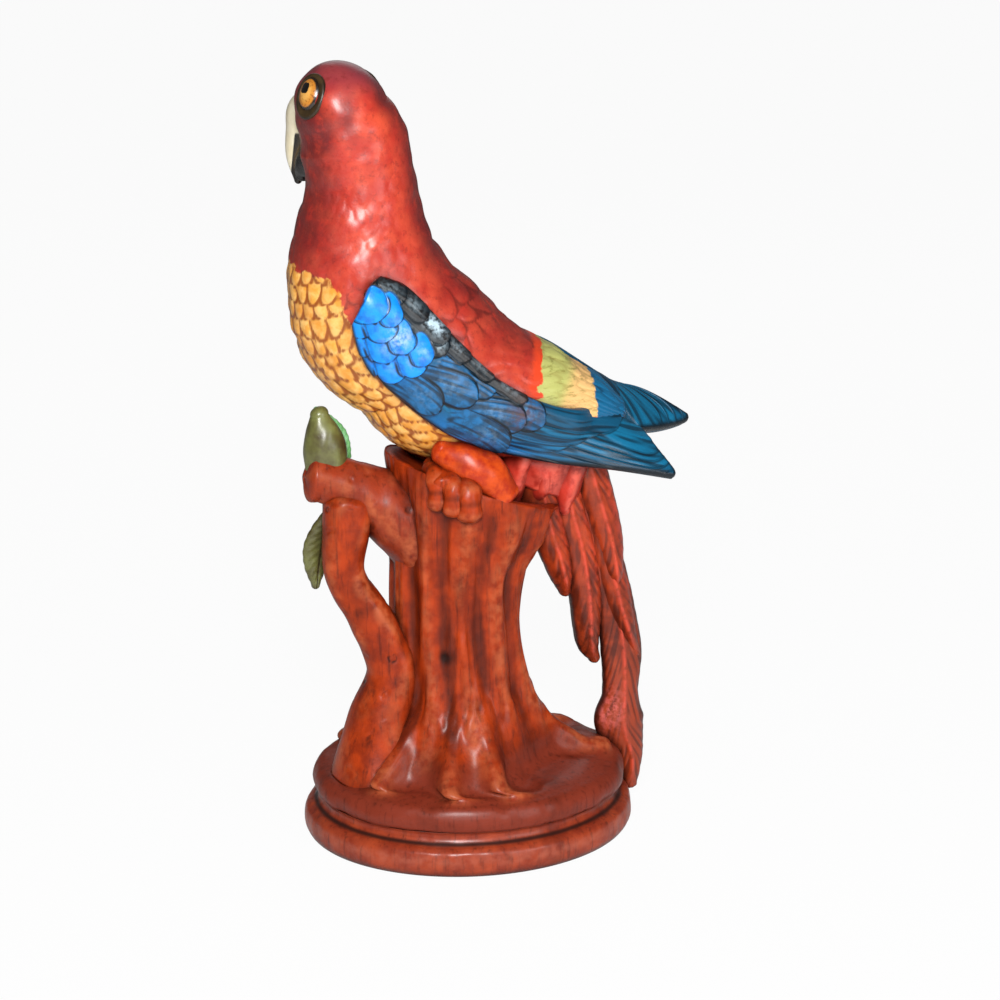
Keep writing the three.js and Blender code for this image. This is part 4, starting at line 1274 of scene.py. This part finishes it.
@dataclass
class Wing:
    """A folded wing: overlapping feathers on a panel that lies on the flank."""

    side: Side
    body: Body
    lower: Sequence[Row] = (
        (-62, 20, 88), (-57, 20, 70), (-38.5, 20, 47), (-6, 20, 24), (32, 24, 13), (69, 25, 7), (100, 22, 0),
    )
    upper: Sequence[Row] = (
        (-52, 20, 111), (-36, 20, 104.5), (-15, 20, 81), (8, 20, 57), (36, 14, 41.5), (66, 6, 34),
        (92, 3, 16),
    )
    stand: float = 3
    swell: float = 4
    thickness: tuple[float, float] = (9, 5)
    hem: float = 5.5
    far_reach: float = 24
    far_rise: float = 5
    far_crest: float = 15
    far_lift: float = 21
    far_droop: float = 11
    far_ridge: float = 8
    length: float = 190
    edge_round: float = 2.6
    bright: Row = (-46, 76)
    # Places of the painted highlight: where it stays on the shoulder, and a glint spot
    shine: Row = (-37, 78)
    silver_glint: Row = (-41, 82)
    browned: Row = (18, 40)
    stations: int = 420
    columns: int = 124
    backs: int = 26
    flights: int = 6
    coverts: Sequence[tuple[Row, Row]] = (
        ((-2, 48), (29, 35)), ((-19, 46), (19, 36)), ((-17, 41), (12, 23)),
        ((-25, 69), (4, 52)), ((-42, 64), (-5, 50)), ((-46, 63), (-22, 45)),
    )
    scapulars: Sequence[tuple[Row, Row]] = (
        ((-4, 64), (20, 46)), ((-14, 74), (4, 58)), ((-24, 84), (-8, 68)), ((-33, 90), (-20, 72)),
        ((-36, 96), (-18, 78)), ((-44, 106), (-28, 88)), ((-56, 110), (-38, 98)), ((-64, 86), (-54, 110)),
    )
    shoulder: Sequence[Row] = (
        (-51, 63, 12), (-42, 60, 13), (-33, 63, 13), (-29, 68, 11), (-55, 73, 12), (-46, 70, 13),
        (-38, 74, 12), (-56, 82, 13), (-47, 80, 13), (-43, 87, 11), (-52, 89, 17),
    )

    def flank(self, x: Numbers, height: Numbers) -> Numbers:
        """Half width of the body at points of its side view, nothing outside it."""
        line = Curve([(*row, 0) for row in self.body.rows]).at(np.linspace(0, 1, 260))
        off = np.hypot(line[:, 0] - x[..., None], line[:, 1] - height[..., None])
        near = np.clip(off.argmin(axis=-1), 1, len(line) - 2)
        before, after = line[near - 1], line[near + 1]
        way = after[..., :2] - before[..., :2]
        offset = np.stack([x, height], axis=-1) - before[..., :2]
        share = np.clip((offset * way).sum(axis=-1) / (way**2).sum(axis=-1), 0, 1)
        row = blend(share[..., None], before, after)
        gap = np.hypot(row[..., 0] - x, row[..., 1] - height)
        return row[..., 2] * np.sqrt(np.clip(1 - (gap / row[..., 3]) ** 2, 0, None))

    def chart(self, u: Numbers, v: Numbers) -> Numbers:
        """Places between the two edges: u from shoulder to tip, v from the lower to the upper edge."""
        low = Curve(self.lower, 0.25).at(u)
        high = Curve(self.upper, 0.25).at(u)
        return low + (high - low) * v[..., None]

    def panel(self, u: Numbers, v: Numbers) -> Numbers:
        """Points of the wing's face, laid on the flank and swelling outward."""
        point = self.chart(u, v)
        free = point[..., 1]
        rest = self.flank(point[..., 0], point[..., 2]) * (1 - smoothstep(u, 0.72, 0.86))
        swell = self.swell * np.sin(math.pi * np.clip(v, 0, 1)) * (1 - 0.4 * u)
        half = 0.5 * (free + rest + np.hypot(free - rest, 3)) + self.stand + swell
        far = 1 if self.side is Side.RIGHT else 0
        crest = self.far_crest * v * bump(u, 0.62, 0.27) + self.far_ridge * v**3 * bump(u, 0.69, 0.11)
        crest = crest - self.far_droop * v * smoothstep(u, 0.8, 1)
        lift = (1 - v) * (self.far_rise * smoothstep(u, 0, 1) + self.far_lift * bump(u, 0.84, 0.18))
        return np.stack([
            point[..., 0] + far * self.far_reach * u * (1 - 0.85 * v),
            self.side.value * half,
            point[..., 2] + LEVELS.perch + far * (crest + lift),
        ], axis=-1)

    def flight(self, start: float, end: float, v: float, width: float) -> Feather:
        """A long feather that bends with the wing.

        Args:
            start: Where along the wing its root lies.
            end: Where along the wing its tip lies.
            v: Its place across the wing.
            width: Its width in millimetres.

        Returns:
            The feather in the side view.
        """
        root, middle, tip = self.chart(np.array([start, (start + end) / 2, end]), np.full(3, v))[:, [0, 2]]
        run = tip - root
        bow = (middle - (root + tip) / 2) @ np.array([-run[1], run[0]]) / np.linalg.norm(run)
        return Feather(Tier.FLIGHT, tuple(root), tuple(tip), width, 1.0, 1.8, float(bow))

    def feathers(self) -> list[Feather]:
        """Every feather in the order in which they overlap, the lowest first."""
        laid = [self.flight(0.4, 1.02, (k + 0.35) / self.flights, 12) for k in range(self.flights)]
        laid += [self.flight(0.34, 0.72 + 0.05 * k, 0.42 + 0.15 * k, 12) for k in range(4)]
        laid += [Feather(Tier.STEEL, root, tip, 15, 1.8, 1.3, 1.5, 0.18) for root, tip in self.coverts]
        for k, (root, tip) in enumerate(self.scapulars):
            # Two scapulars carry a strong painted silver highlight
            glint, width = (2.2, 12) if k in (3, 4) else (0.4, 8 + 0.4 * k)
            laid.append(Feather(Tier.SCAPULAR, root, tip, width, 1.7, 1.0, glint=glint))
        for x, h, width in self.shoulder:
            high = min(h + width * 1.4, 105)
            laid.append(Feather(Tier.SHOULDER, (x - (high - h) / 3, high), (x, h), width, 1.7, 0.9, glint=0.8))
        return laid

    def lay(self, x: Numbers, height: Numbers) -> dict[str, Numbers]:
        """Lay every feather over the ones under it.

        Args:
            x: Places in the bird's side view.
            height: Their heights over the perch.

        Returns:
            The rise in millimetres and the painted masks.
        """
        out = {key: np.zeros_like(x) for key in ("rise", "groove", "tint", "barb", "silver_highlight")}
        out |= {tier.value: np.zeros_like(x) for tier in Tier}
        for k, feather in enumerate(self.feathers()):
            cover, under, marks = feather.trace(x, height, k)
            for key, value in marks.items():
                out[key] = blend(cover, out[key], value)
            # Painted shadow on the feathers beside each one
            out["groove"] = np.maximum(out["groove"], under * (1 - cover))
        bright = spot(x, height, self.bright, 14) * (1 - out["scapular"])
        out["shoulder"] = np.maximum(out["shoulder"], bright)
        # Painted silver highlight, kept on the shoulder only round the shine, and a glint spot
        out["silver_highlight"] = out["silver_highlight"] * (1 - out["shoulder"] * (1 - spot(x, height, self.shine, 11)))
        out["silver_highlight"] = np.maximum(out["silver_highlight"], 1.1 * spot(x, height, self.silver_glint, 5.5))
        along = np.clip((x + 30) / 50, 0, 1)
        out["lower"] = bump(height - blend(along, 38, 18), 0, 9) * bump(x, -4, 30) * (1 - out["shoulder"])
        out["umber"] = spot(x, height, self.browned, 7, 1.3)
        out["groove"] = np.clip(out["groove"], 0, 1)
        return out

    def build(self) -> None:
        """Model the panel with its feathers, round its edges and close its back."""
        along = np.linspace(0, 1, self.stations)
        across = np.linspace(0, 1, self.columns)
        ends = 1 - 0.05 * across**1.5 - 0.025 * (1 - across) ** 10
        starts = 0.045 * across**7 + 0.02 * (1 - across) ** 7
        u = starts + along[:, None] * (ends - starts)
        v = np.repeat(across[None, :], len(along), axis=0)
        face = self.panel(u, v)
        breadth = np.linalg.norm(face[:, -1] - face[:, 0], axis=1)[:, None]
        run, over = np.gradient(face, axis=0), np.gradient(face, axis=1)
        out = unit(np.cross(run, over)) * -self.side.value
        flat = self.chart(u, v)
        laid = self.lay(flat[..., 0], flat[..., 2])
        edge = np.minimum(v, 1 - v) * breadth
        tip = (1 - u / ends[None, :]) * self.length
        root = (u - starts) * self.length
        near = np.clip(1 - np.minimum(edge, np.minimum(tip, root)) / self.edge_round, 0, 1)
        roll = self.edge_round * (1 - np.sqrt(np.clip(1 - near**2, 0, 1)))
        hem = smoothstep(np.minimum(np.minimum(edge, root + 1.5) + 99 * (v > 0.5), tip), self.hem, 0)
        laid["groove"] = np.maximum(laid["groove"], 0.95 * hem)
        front = face + out * (laid["rise"] - roll)[..., None]
        inner_v = np.linspace(1, 0, self.backs)
        first, last = np.interp(inner_v, across, starts), np.interp(inner_v, across, ends)
        back_u = first + along[:, None] * (last - first)
        back = self.panel(back_u, np.repeat(inner_v[None, :], len(along), axis=0))
        picks = np.linspace(self.columns - 1, 0, self.backs).round().astype(int)
        thick = blend(along, *self.thickness)[:, None] * (0.5 + 0.5 * np.sin(math.pi * inner_v))
        back = back - out[:, picks] * thick[..., None]
        sheet = Skin(np.concatenate([front, back], axis=1), along, np.concatenate([across, inner_v]))
        blank = np.zeros((len(along), self.backs))
        for key, value in laid.items():
            if key != "rise":
                sheet.masks[key] = np.concatenate([value, blank + (0.3 if key == "tint" else 0)], axis=1)
        settle(sheet, "wing_" + self.side.label, BLUE)


@dataclass
class Head:
    """Beak, eyes and eyelids, made looking along -X and turned with the head."""

    body: Body
    turn: float = 56
    x: float = -59
    height: float = 172
    beak_reach: float = 31
    beak_width: float = 22
    beak_hook: float = 28
    lower_reach: float = 26
    lower_drop: float = 26
    eye_radius: float = 6.5
    eye_depth: float = 4.5
    eye_rise: float = 11
    eye_sink: float = 2.3
    eye_tilt: float = 24
    eye_lean: float = 4
    eye_tall: float = 1.3
    pupil: tuple[float, float] = (-1.0, 2.0)
    pupil_half: tuple[float, float] = (2.5, 2.7)
    lid_width: float = 2.8
    lid_tall: float = 1.28
    far_lid_sink: float = 1.2
    eye_sides: int = 96

    def set_on(self, skin: Skin, x: float, height: float) -> Skin:
        """Turn a piece with the head and carry it to its place over the perch."""
        c, s = math.cos(-self.turn * DEGREES), math.sin(-self.turn * DEGREES)
        px, py, pz = (skin.rings[..., k] for k in range(3))
        skin.rings = np.stack([px * c - py * s + x, px * s + py * c, pz + LEVELS.perch + height], axis=-1)
        return skin

    def build(self) -> None:
        """Build the beak's halves, then each eye with its lid."""
        half, reach, hook = self.beak_width / 2, self.beak_reach, self.beak_hook
        upper = Limb([
            (-10, 0, 3, half, 13), (-20, 0, 3, half * 0.92, 12), (-reach * 0.82, 0, -5, half * 0.68, 8.5),
            (-reach * 0.96, 0, -hook * 0.6, half * 0.42, 5), (-reach * 0.93, 0, -hook, half * 0.16, 2),
        ], cap_end=2).skin(120, 90)
        x, z = upper.rings[..., 0], upper.rings[..., 2]
        # Darker towards the root of the beak, unevenly
        root_darkening = 0.25 * smoothstep(x, -18, -14) + 0.2 * ripple(upper.rings, 9, 61) - 0.1
        upper.masks["groove"] = np.clip(root_darkening, 0, 0.5)
        # Black behind a slanting plane under the gape, and at the tip
        under = 0.743 * x - 0.669 * np.abs(upper.rings[..., 1]) + 21.9 - 0.148 * (z + 6)
        corner = smoothstep(under, -0.4, 0.4) * smoothstep(z, -3, -6)
        upper.masks["sooty"] = np.maximum(corner, smoothstep(z, -25, -27))
        upper.raised(0.1 * ripple(upper.rings, 12, 63))
        settle(self.set_on(upper, self.x, self.height), "beak_upper", CREAM)
        reach, drop = self.lower_reach, self.lower_drop
        lower = Limb([
            (-12, 0, -12, half * 0.8, 8), (-reach * 0.68, 0, -16, half * 0.72, 8),
            (-reach * 0.92, 0, -drop * 0.85, half * 0.5, 5), (-reach, 0, -drop, half * 0.3, 3),
        ], cap_end=2).skin(90, 80)
        lower.raised(0.12 * ripple(lower.rings, 7, 62))
        settle(self.set_on(lower, self.x, self.height), "beak_lower", BLACK)
        for side in Side:
            self.eye(side)

    def temple(self) -> tuple[float, float, float]:
        """Find the side of the crown at the eyes' height.

        Returns:
            The section's middle in x, how far out its turned side lies and its height.
        """
        (back, under, _, _), (x, h, wide, deep) = self.body.rows[-2:]
        crown, rise, turn = self.body.crown, self.eye_rise, self.turn * DEGREES
        lean = math.atan2(back - x, h - under)
        span = math.hypot(crown * math.cos(lean), deep * math.sin(lean))
        share = math.sqrt(1 - (rise / span) ** 2)
        shift = rise / span**2 * (crown**2 - deep**2) * 0.5 * math.sin(2 * lean)
        reach = share / math.hypot(math.cos(turn) / wide, math.sin(turn) * span / (crown * deep))
        return x - shift, reach, h + rise

    def oval(self, side: Side, local: Numbers) -> Numbers:
        """Lean points of an eye, with Y outward, and move them out to the side of the head."""
        sign = side.value
        tilt = (sign * self.eye_tilt + self.eye_lean) * DEGREES
        x, y, z = local[..., 0], local[..., 1] * sign, local[..., 2]
        y, z = y * math.cos(tilt) - z * math.sin(tilt), y * math.sin(tilt) + z * math.cos(tilt)
        return np.stack([x, y + sign * (self.temple()[1] - self.eye_sink), z], axis=-1)

    def eye(self, side: Side) -> None:
        """Build one eye and the lid round it."""
        middle, _, height = self.temple()
        turn = turns(self.eye_sides)[None, :]
        open_ = np.linspace(0.02, math.pi * 0.62, 80)[:, None]
        radius = self.eye_radius
        local = np.stack([
            radius * np.sin(open_) * np.cos(turn), self.eye_depth * np.cos(open_) * np.ones_like(turn),
            radius * self.eye_tall * np.sin(open_) * np.sin(turn),
        ], axis=-1)
        ball = Skin(self.oval(side, local), open_[:, 0], turn[0])
        rim = np.hypot(local[..., 0], local[..., 2] / self.eye_tall) / radius
        ball.masks["polar"] = np.where(open_ < math.pi / 2, rim, 1.0)
        aside, above = (np.abs((local[..., axis] - start) / half) ** 3
                        for axis, start, half in zip((0, 2), self.pupil, self.pupil_half))
        square = (aside + above) ** (1 / 3)
        ball.masks["pupil"] = np.where(open_ < math.pi / 2, 1 - square, -1.0)
        settle(self.set_on(ball, middle, height), "eye_" + side.label, EYE)
        profile = np.linspace(0, 2 * math.pi, 33)[:, None]
        fat = self.lid_width * 0.68 * (0.72 + 0.28 * np.cos(turn + 0.9))
        wide = radius - 1.0 + fat + fat * np.cos(profile)
        sink = self.far_lid_sink if side is Side.RIGHT else 0
        local = np.stack([
            wide * np.cos(turn),
            0.6 - sink + 1.8 * np.sin(profile) * np.ones_like(turn),
            wide * self.lid_tall * np.sin(turn),
        ], axis=-1)
        lid = Skin(self.oval(side, local), profile[:, 0], turn[0], joined=True)
        folds = np.sin(3 * profile + 0.8 * np.sin(2 * turn))
        lid.masks["groove"] = np.clip(folds * 0.5, 0, 0.5) * np.ones_like(local[..., 0])
        relief = 0.15 * folds * np.ones_like(local[..., 0])
        settle(self.set_on(lid.raised(relief), middle, height), "eyelid_" + side.label, LID)


@dataclass
class Leg:
    """A thigh and a foot whose toes curl over the rim of the stump."""

    side: Side
    thigh_radius: float = 11
    thigh_y: float = 25
    toe_radius: float = 5.4
    toe_spacing: float = 7
    toe_count: int = 3
    toe_start: float = -22

    def build(self) -> None:
        """Build the thigh, then the foot."""
        sign, r, y = self.side.value, self.thigh_radius, self.thigh_y
        rows = [
            (-17, sign * (y - 4), 21, r * 0.6, r * 0.65), (-8, sign * y, 16, r * 0.95, r * 0.9),
            (3, sign * (y + 2), 9, r, r), (11, sign * (y + 3), -1, r * 0.72, r * 0.7),
        ]
        thigh = Limb([(px, py, LEVELS.perch + h, a, b) for px, py, h, a, b in rows], cap_start=5, cap_end=5)
        skin = thigh.skin(110, 110)
        soft = ripple(skin.rings * [1, 1, 0.6], 12, 75)
        skin.masks["groove"] = np.clip(-0.6 * soft - 0.1, 0, 0.6)
        settle(skin.raised(0.7 * soft), "thigh_" + self.side.label, THIGH)
        toes = [self.toe(k) for k in range(self.toe_count)]
        join_up([self.instep(), *toes], "foot_" + self.side.label, BARK)

    def edge(self, x: float) -> float:
        """Half width of the stump's rim at x."""
        return LEVELS.rim[1] / 2 * math.sqrt(1 - ((x - LEVELS.rim_x) / (LEVELS.rim[0] / 2)) ** 2)

    def ridge_light(self, skin: Skin, joints: Numbers, seed: int) -> Skin:
        """Round the skin into knuckles, dark between them, with painted highlights marked on the knuckles."""
        skin.masks["groove"] = np.clip(-joints - 0.45, 0, 1) * 0.8
        skin.masks["ridge_highlight"] = np.clip(joints, 0, 1) * 0.8
        return skin.raised(0.4 * joints + 0.15 * ripple(skin.rings, 6, seed))

    def instep(self) -> Skin:
        """The pad that joins the toes on top of the rim."""
        sign, slope = self.side.value, LEVELS.rim_slope
        x = self.toe_start + self.toe_spacing * (self.toe_count - 1) / 2
        rows = [
            (x, sign * (self.edge(x) - back), LEVELS.perch - slope * x + h,
             self.toe_spacing * self.toe_count / 2, self.toe_radius)
            for back, h in ((18, 5), (9, 4), (0, 1))
        ]
        skin = Limb(rows, across=(1, 0, -slope), cap_start=4, cap_end=3).skin(60, 96)
        return self.ridge_light(skin, 0.7 * ripple(skin.rings, 13, 70), 74)

    def toe(self, k: int) -> Skin:
        """One toe that runs out over the rim and turns down."""
        x, sign = self.toe_start + self.toe_spacing * k, self.side.value
        radius = self.toe_radius * (0.85 + 0.13 * k)
        rows = [
            (x, sign * (self.edge(x) + out), LEVELS.perch - LEVELS.rim_slope * x + h, radius, radius)
            for out, h in ((-10, 3), (-3, 3.5), (2, -2), (2, -9))
        ]
        skin = Limb(rows, across=(1, 0, 0), cap_start=3, cap_end=4).skin(70, 60)
        joints = np.sin(skin.part * 2.2 * 2 * math.pi + 0.7)[:, None] * np.ones(len(skin.angle))
        return self.ridge_light(skin, joints, 71 + k)


@dataclass
class Tail:
    """Long tail feather, four shorter ones wrapped round it and the coverts over their roots."""

    thickness: float = 12
    wrap: float = 2.4
    foot_thickness: float = 17
    sweep: float = 4
    root_rise: float = 10
    coverts: int = 3
    covert_length: float = 40

    def quill(self, node: str, rows: Sequence[Row], steps: int, sides: int) -> None:
        """Build one feather: shaft, slanted barbs and a dark rounded tip.

        Args:
            node: The casting that it stands for.
            rows: x, height as a part of the trunk's, half width and thickness, from tip to root.
            steps: Stations along it.
            sides: Points round it.
        """
        line = []
        for x, part, half, thick in rows:
            sweep = self.sweep * min(max(1 - part, 0), 1)
            line.append((x, sweep, LEVELS.mound + part * LEVELS.trunk, half, thick / 2))
        skin = Limb(line, across=(1, 0, 0), cap_start=3).skin(steps, sides)
        half = np.interp(skin.part, np.linspace(0, 1, len(rows)), [row[2] for row in rows])[:, None]
        away = half * np.cos(skin.angle)[None, :]
        run, level = skin.lengths(), skin.rings[..., 2]
        shaft = bump(away, 0, 1.1) * smoothstep(run, 4, 20)
        fine = np.stack([np.abs(away) + 0.3 * run, 0.08 * run, 0.2 * away], axis=-1)
        streak = streaks(fine, 2.2, 80 + len(rows))
        rim = smoothstep(np.abs(np.cos(skin.angle))[None, :] * np.ones_like(run), 0.8, 0.99)
        tip = 1 - smoothstep(run, 1, 7)
        skin.masks["barb"] = streak * (1 - shaft)
        skin.masks["groove"] = np.clip(0.75 * rim + 0.6 * tip, 0, 1)
        # Painted highlight along the shaft and on the outer side of the upper feather
        outer = smoothstep(away / half, 0.2, 0.8) * smoothstep(level, 95, 140)
        skin.masks["ridge_highlight"] = np.clip(0.7 * shaft + 0.6 * outer, 0, 1)
        skin.masks["low"] = 1 - smoothstep(level, 70, 130)
        skin.masks["stipple"] = bump(level, 52, 10) * smoothstep(-away / half, -0.4, 0.6)
        skin.masks["dusk"] = smoothstep(level, 60, 90) * (1 - smoothstep(level, 100, 145))
        soft = 0.35 * ripple(skin.rings * [1, 1, 0.4], 15, 79)
        settle(skin.raised(0.7 * shaft + soft - 0.22 * streak * (1 - shaft)), node, TAIL)

    def build(self) -> None:
        """Build the feathers from the longest to the shortest, then the coverts."""
        thin, root = self.thickness, 1 + self.root_rise / LEVELS.trunk
        middle, outer = thin + 2 * self.wrap, thin + 4 * self.wrap
        long = [
            (85, -0.22, 4, thin * 0.6), (84, -0.1, 7, thin), (79, 0.03, 13, self.foot_thickness),
            (79.5, 0.14, 9.5, thin * 1.15), (79, 0.3, 10.3, thin), (74.3, 0.51, 10, thin),
            (63.5, 0.77, 11, thin), (51, root, 11, thin),
        ]
        self.quill("tail_feather_1", long, 460, 96)
        wrapped = [
            (middle, [(86, 0.3, 2.5), (80, 0.41, 5.5), (75, 0.53, 7.5), (68.5, 0.72, 8), (64, 0.88, 8),
                      (57, root, 8)]),
            (middle, [(65, 0.29, 2.8), (61.5, 0.36, 6), (60, 0.54, 8.5), (56, 0.72, 9.5), (50, 0.88, 9.5),
                      (44, root, 9.5)]),
            (outer, [(74.5, 0.57, 2.5), (73, 0.63, 5.5), (70.5, 0.74, 8), (65, 0.88, 9), (57, root, 9.5)]),
            (outer, [(49, 0.56, 2.8), (47, 0.62, 5.5), (43.5, 0.72, 8), (39, 0.82, 9.5), (35, 0.95, 10),
                     (33, root, 10)]),
        ]
        for k, (thick, rows) in enumerate(wrapped):
            line = [(*row, thick * (1 if i else 0.55)) for i, row in enumerate(rows)]
            self.quill(f"tail_feather_{k + 2}", line, 240, 90)
        self.fan()

    def fan(self) -> None:
        """Coverts: lobes from under the rump over the roots of the feathers, joined in one piece."""
        thick = self.thickness / 2 + 3 * self.wrap
        rows = [(33, -4, 20, thick * 0.9), (38, 8, 23, thick * 1.1), (46, 24, 20, thick)]
        lines = [(rows, 4, 3)]
        for k in range(self.coverts):
            fan = k / (self.coverts - 1)
            x, h = 21 + 26 * fan, 24 - self.covert_length * (0.86 + 0.14 * fan)
            rows = [
                (x, h, 5, thick * 0.7), (x + 1, h + self.covert_length * 0.25, 8, thick),
                (x + 4, h + self.covert_length * 0.6, 9, thick * 1.1),
            ]
            lines.append((rows, 5, 3))
        lobes = []
        for rows, start, end in lines:
            limb = Limb([(x, 0, LEVELS.perch + h, a, b) for x, h, a, b in rows], (1, 0, 0), start, end)
            skin = limb.skin(90, 90)
            away = np.cos(skin.angle)[None, :] * np.ones((len(skin.part), 1))
            fine = np.stack([7 * away, 0.12 * skin.lengths(), np.zeros_like(away)], axis=-1)
            streak = streaks(fine, 3, 88)
            skin.masks["barb"] = 0.7 * streak
            skin.masks["groove"] = smoothstep(np.abs(away), 0.8, 1) * 0.7
            # Painted highlight along the middle of each lobe
            skin.masks["ridge_highlight"] = bump(away, 0.1, 0.35)
            lumps = ripple(skin.rings, 13, 89)
            lobes.append(skin.raised(0.45 * lumps - 0.15 * streak + 0.6 * bump(away, 0, 0.3)))
        join_up(lobes, "tail_coverts", RUMP)


@dataclass
class Studio:
    """Pale floor, soft lamps and the camera."""

    azimuth: float = -14
    elevation: float = 17
    distance: float = 1.3
    aim_height: float = 0.1652
    lens: float = 96.8
    aim_x: float = 0.0161
    floor_reach: float = 6.0
    ambient: float = 0.11
    lamps: Sequence[tuple[str, Row, float, float]] = (
        ("key", (-0.32, -1.25, 0.85), 0.4, 25),
        ("fill", (0.6, -1.1, 0.4), 0.5, 4),
        ("back", (0.3, 1.2, 0.9), 0.8, 2),
    )

    @property
    def aim(self) -> Vector:
        """The point that the camera and the lamps look at."""
        return Vector((LEVELS.middle_x * MM + self.aim_x, 0, self.aim_height))

    def build(self) -> None:
        """Lay the floor, hang the lamps and set the camera."""
        self.floor()
        self.world()
        for lamp in self.lamps:
            self.lamp(*lamp)
        self.camera()
        bpy.context.scene.view_settings.view_transform = "Standard"

    def floor(self) -> None:
        """A wide pale floor that the camera sees as nearly white and that keeps the soft shadow."""
        mesh = bpy.data.meshes.new("floor")
        reach = self.floor_reach
        corners = [(-reach, -reach, 0), (reach, -reach, 0), (reach, reach, 0), (-reach, reach, 0)]
        mesh.from_pydata(corners, [], [(0, 1, 2, 3)])
        floor = bpy.data.objects.new("floor", mesh)
        bpy.context.scene.collection.objects.link(floor)
        brush = Brush("floor_paint")
        brush.shader.inputs["Base Color"].default_value = (0.82, 0.82, 0.82, 1)
        brush.shader.inputs["Roughness"].default_value = 0.9
        glow = brush.tree.nodes.new("ShaderNodeEmission")
        path = brush.tree.nodes.new("ShaderNodeLightPath")
        mixed = brush.tree.nodes.new("ShaderNodeMixShader")
        brush.feed(mixed.inputs[0], brush.sum("MULTIPLY", path.outputs["Is Camera Ray"], 0.95))
        brush.tree.links.new(brush.shader.outputs[0], mixed.inputs[1])
        brush.tree.links.new(glow.outputs[0], mixed.inputs[2])
        brush.tree.links.new(mixed.outputs[0], brush.tree.nodes["Material Output"].inputs["Surface"])
        mesh.materials.append(brush.material)

    def world(self) -> None:
        """Soft grey light all round, white where the camera sees it."""
        world = bpy.data.worlds.new("studio")
        bpy.context.scene.world = world
        world.use_nodes = True
        tree = world.node_tree
        background = tree.nodes["Background"]
        path = tree.nodes.new("ShaderNodeLightPath")
        level = tree.nodes.new("ShaderNodeMapRange")
        level.inputs["To Min"].default_value = self.ambient
        level.inputs["To Max"].default_value = 1.0
        tree.links.new(path.outputs["Is Camera Ray"], level.inputs["Value"])
        tree.links.new(level.outputs["Result"], background.inputs["Strength"])
        background.inputs["Color"].default_value = (1, 1, 1, 1)

    def lamp(self, name: str, place: Row, size: float, power: float) -> None:
        """Hang one soft square lamp that looks at the figure's middle.

        Args:
            name: The lamp's name.
            place: Where it hangs, in metres.
            size: Its side in metres.
            power: Its power in watts.
        """
        data = bpy.data.lights.new(name, "AREA")
        data.size = size
        data.energy = power
        lamp = bpy.data.objects.new(name, data)
        lamp.location = place
        lamp.rotation_euler = (self.aim - Vector(place)).to_track_quat("-Z", "Y").to_euler()
        bpy.context.scene.collection.objects.link(lamp)

    def camera(self) -> None:
        """Set the camera at the photograph's viewing angle."""
        a, e = self.azimuth * DEGREES, self.elevation * DEGREES
        back = Vector((math.sin(a) * math.cos(e), -math.cos(a) * math.cos(e), math.sin(e)))
        data = bpy.data.cameras.new("camera")
        data.lens = self.lens
        data.sensor_width = 36
        camera = bpy.data.objects.new("camera", data)
        camera.location = self.aim + back * self.distance
        camera.rotation_euler = (-back).to_track_quat("-Z", "Y").to_euler()
        bpy.context.scene.collection.objects.link(camera)
        bpy.context.scene.camera = camera


def main() -> None:
    """Build the figure from the table up, then the studio round it."""
    logging.basicConfig(level=logging.INFO, format="%(name)s: %(message)s")
    body = Body()
    Plinth().build()
    Stump().build()
    Branch().build()
    body.build()
    Head(body).build()
    for side in Side:
        Wing(side, body).build()
        Leg(side).build()
    Tail().build()
    Studio().build()


if __name__ == "__main__":
    main()
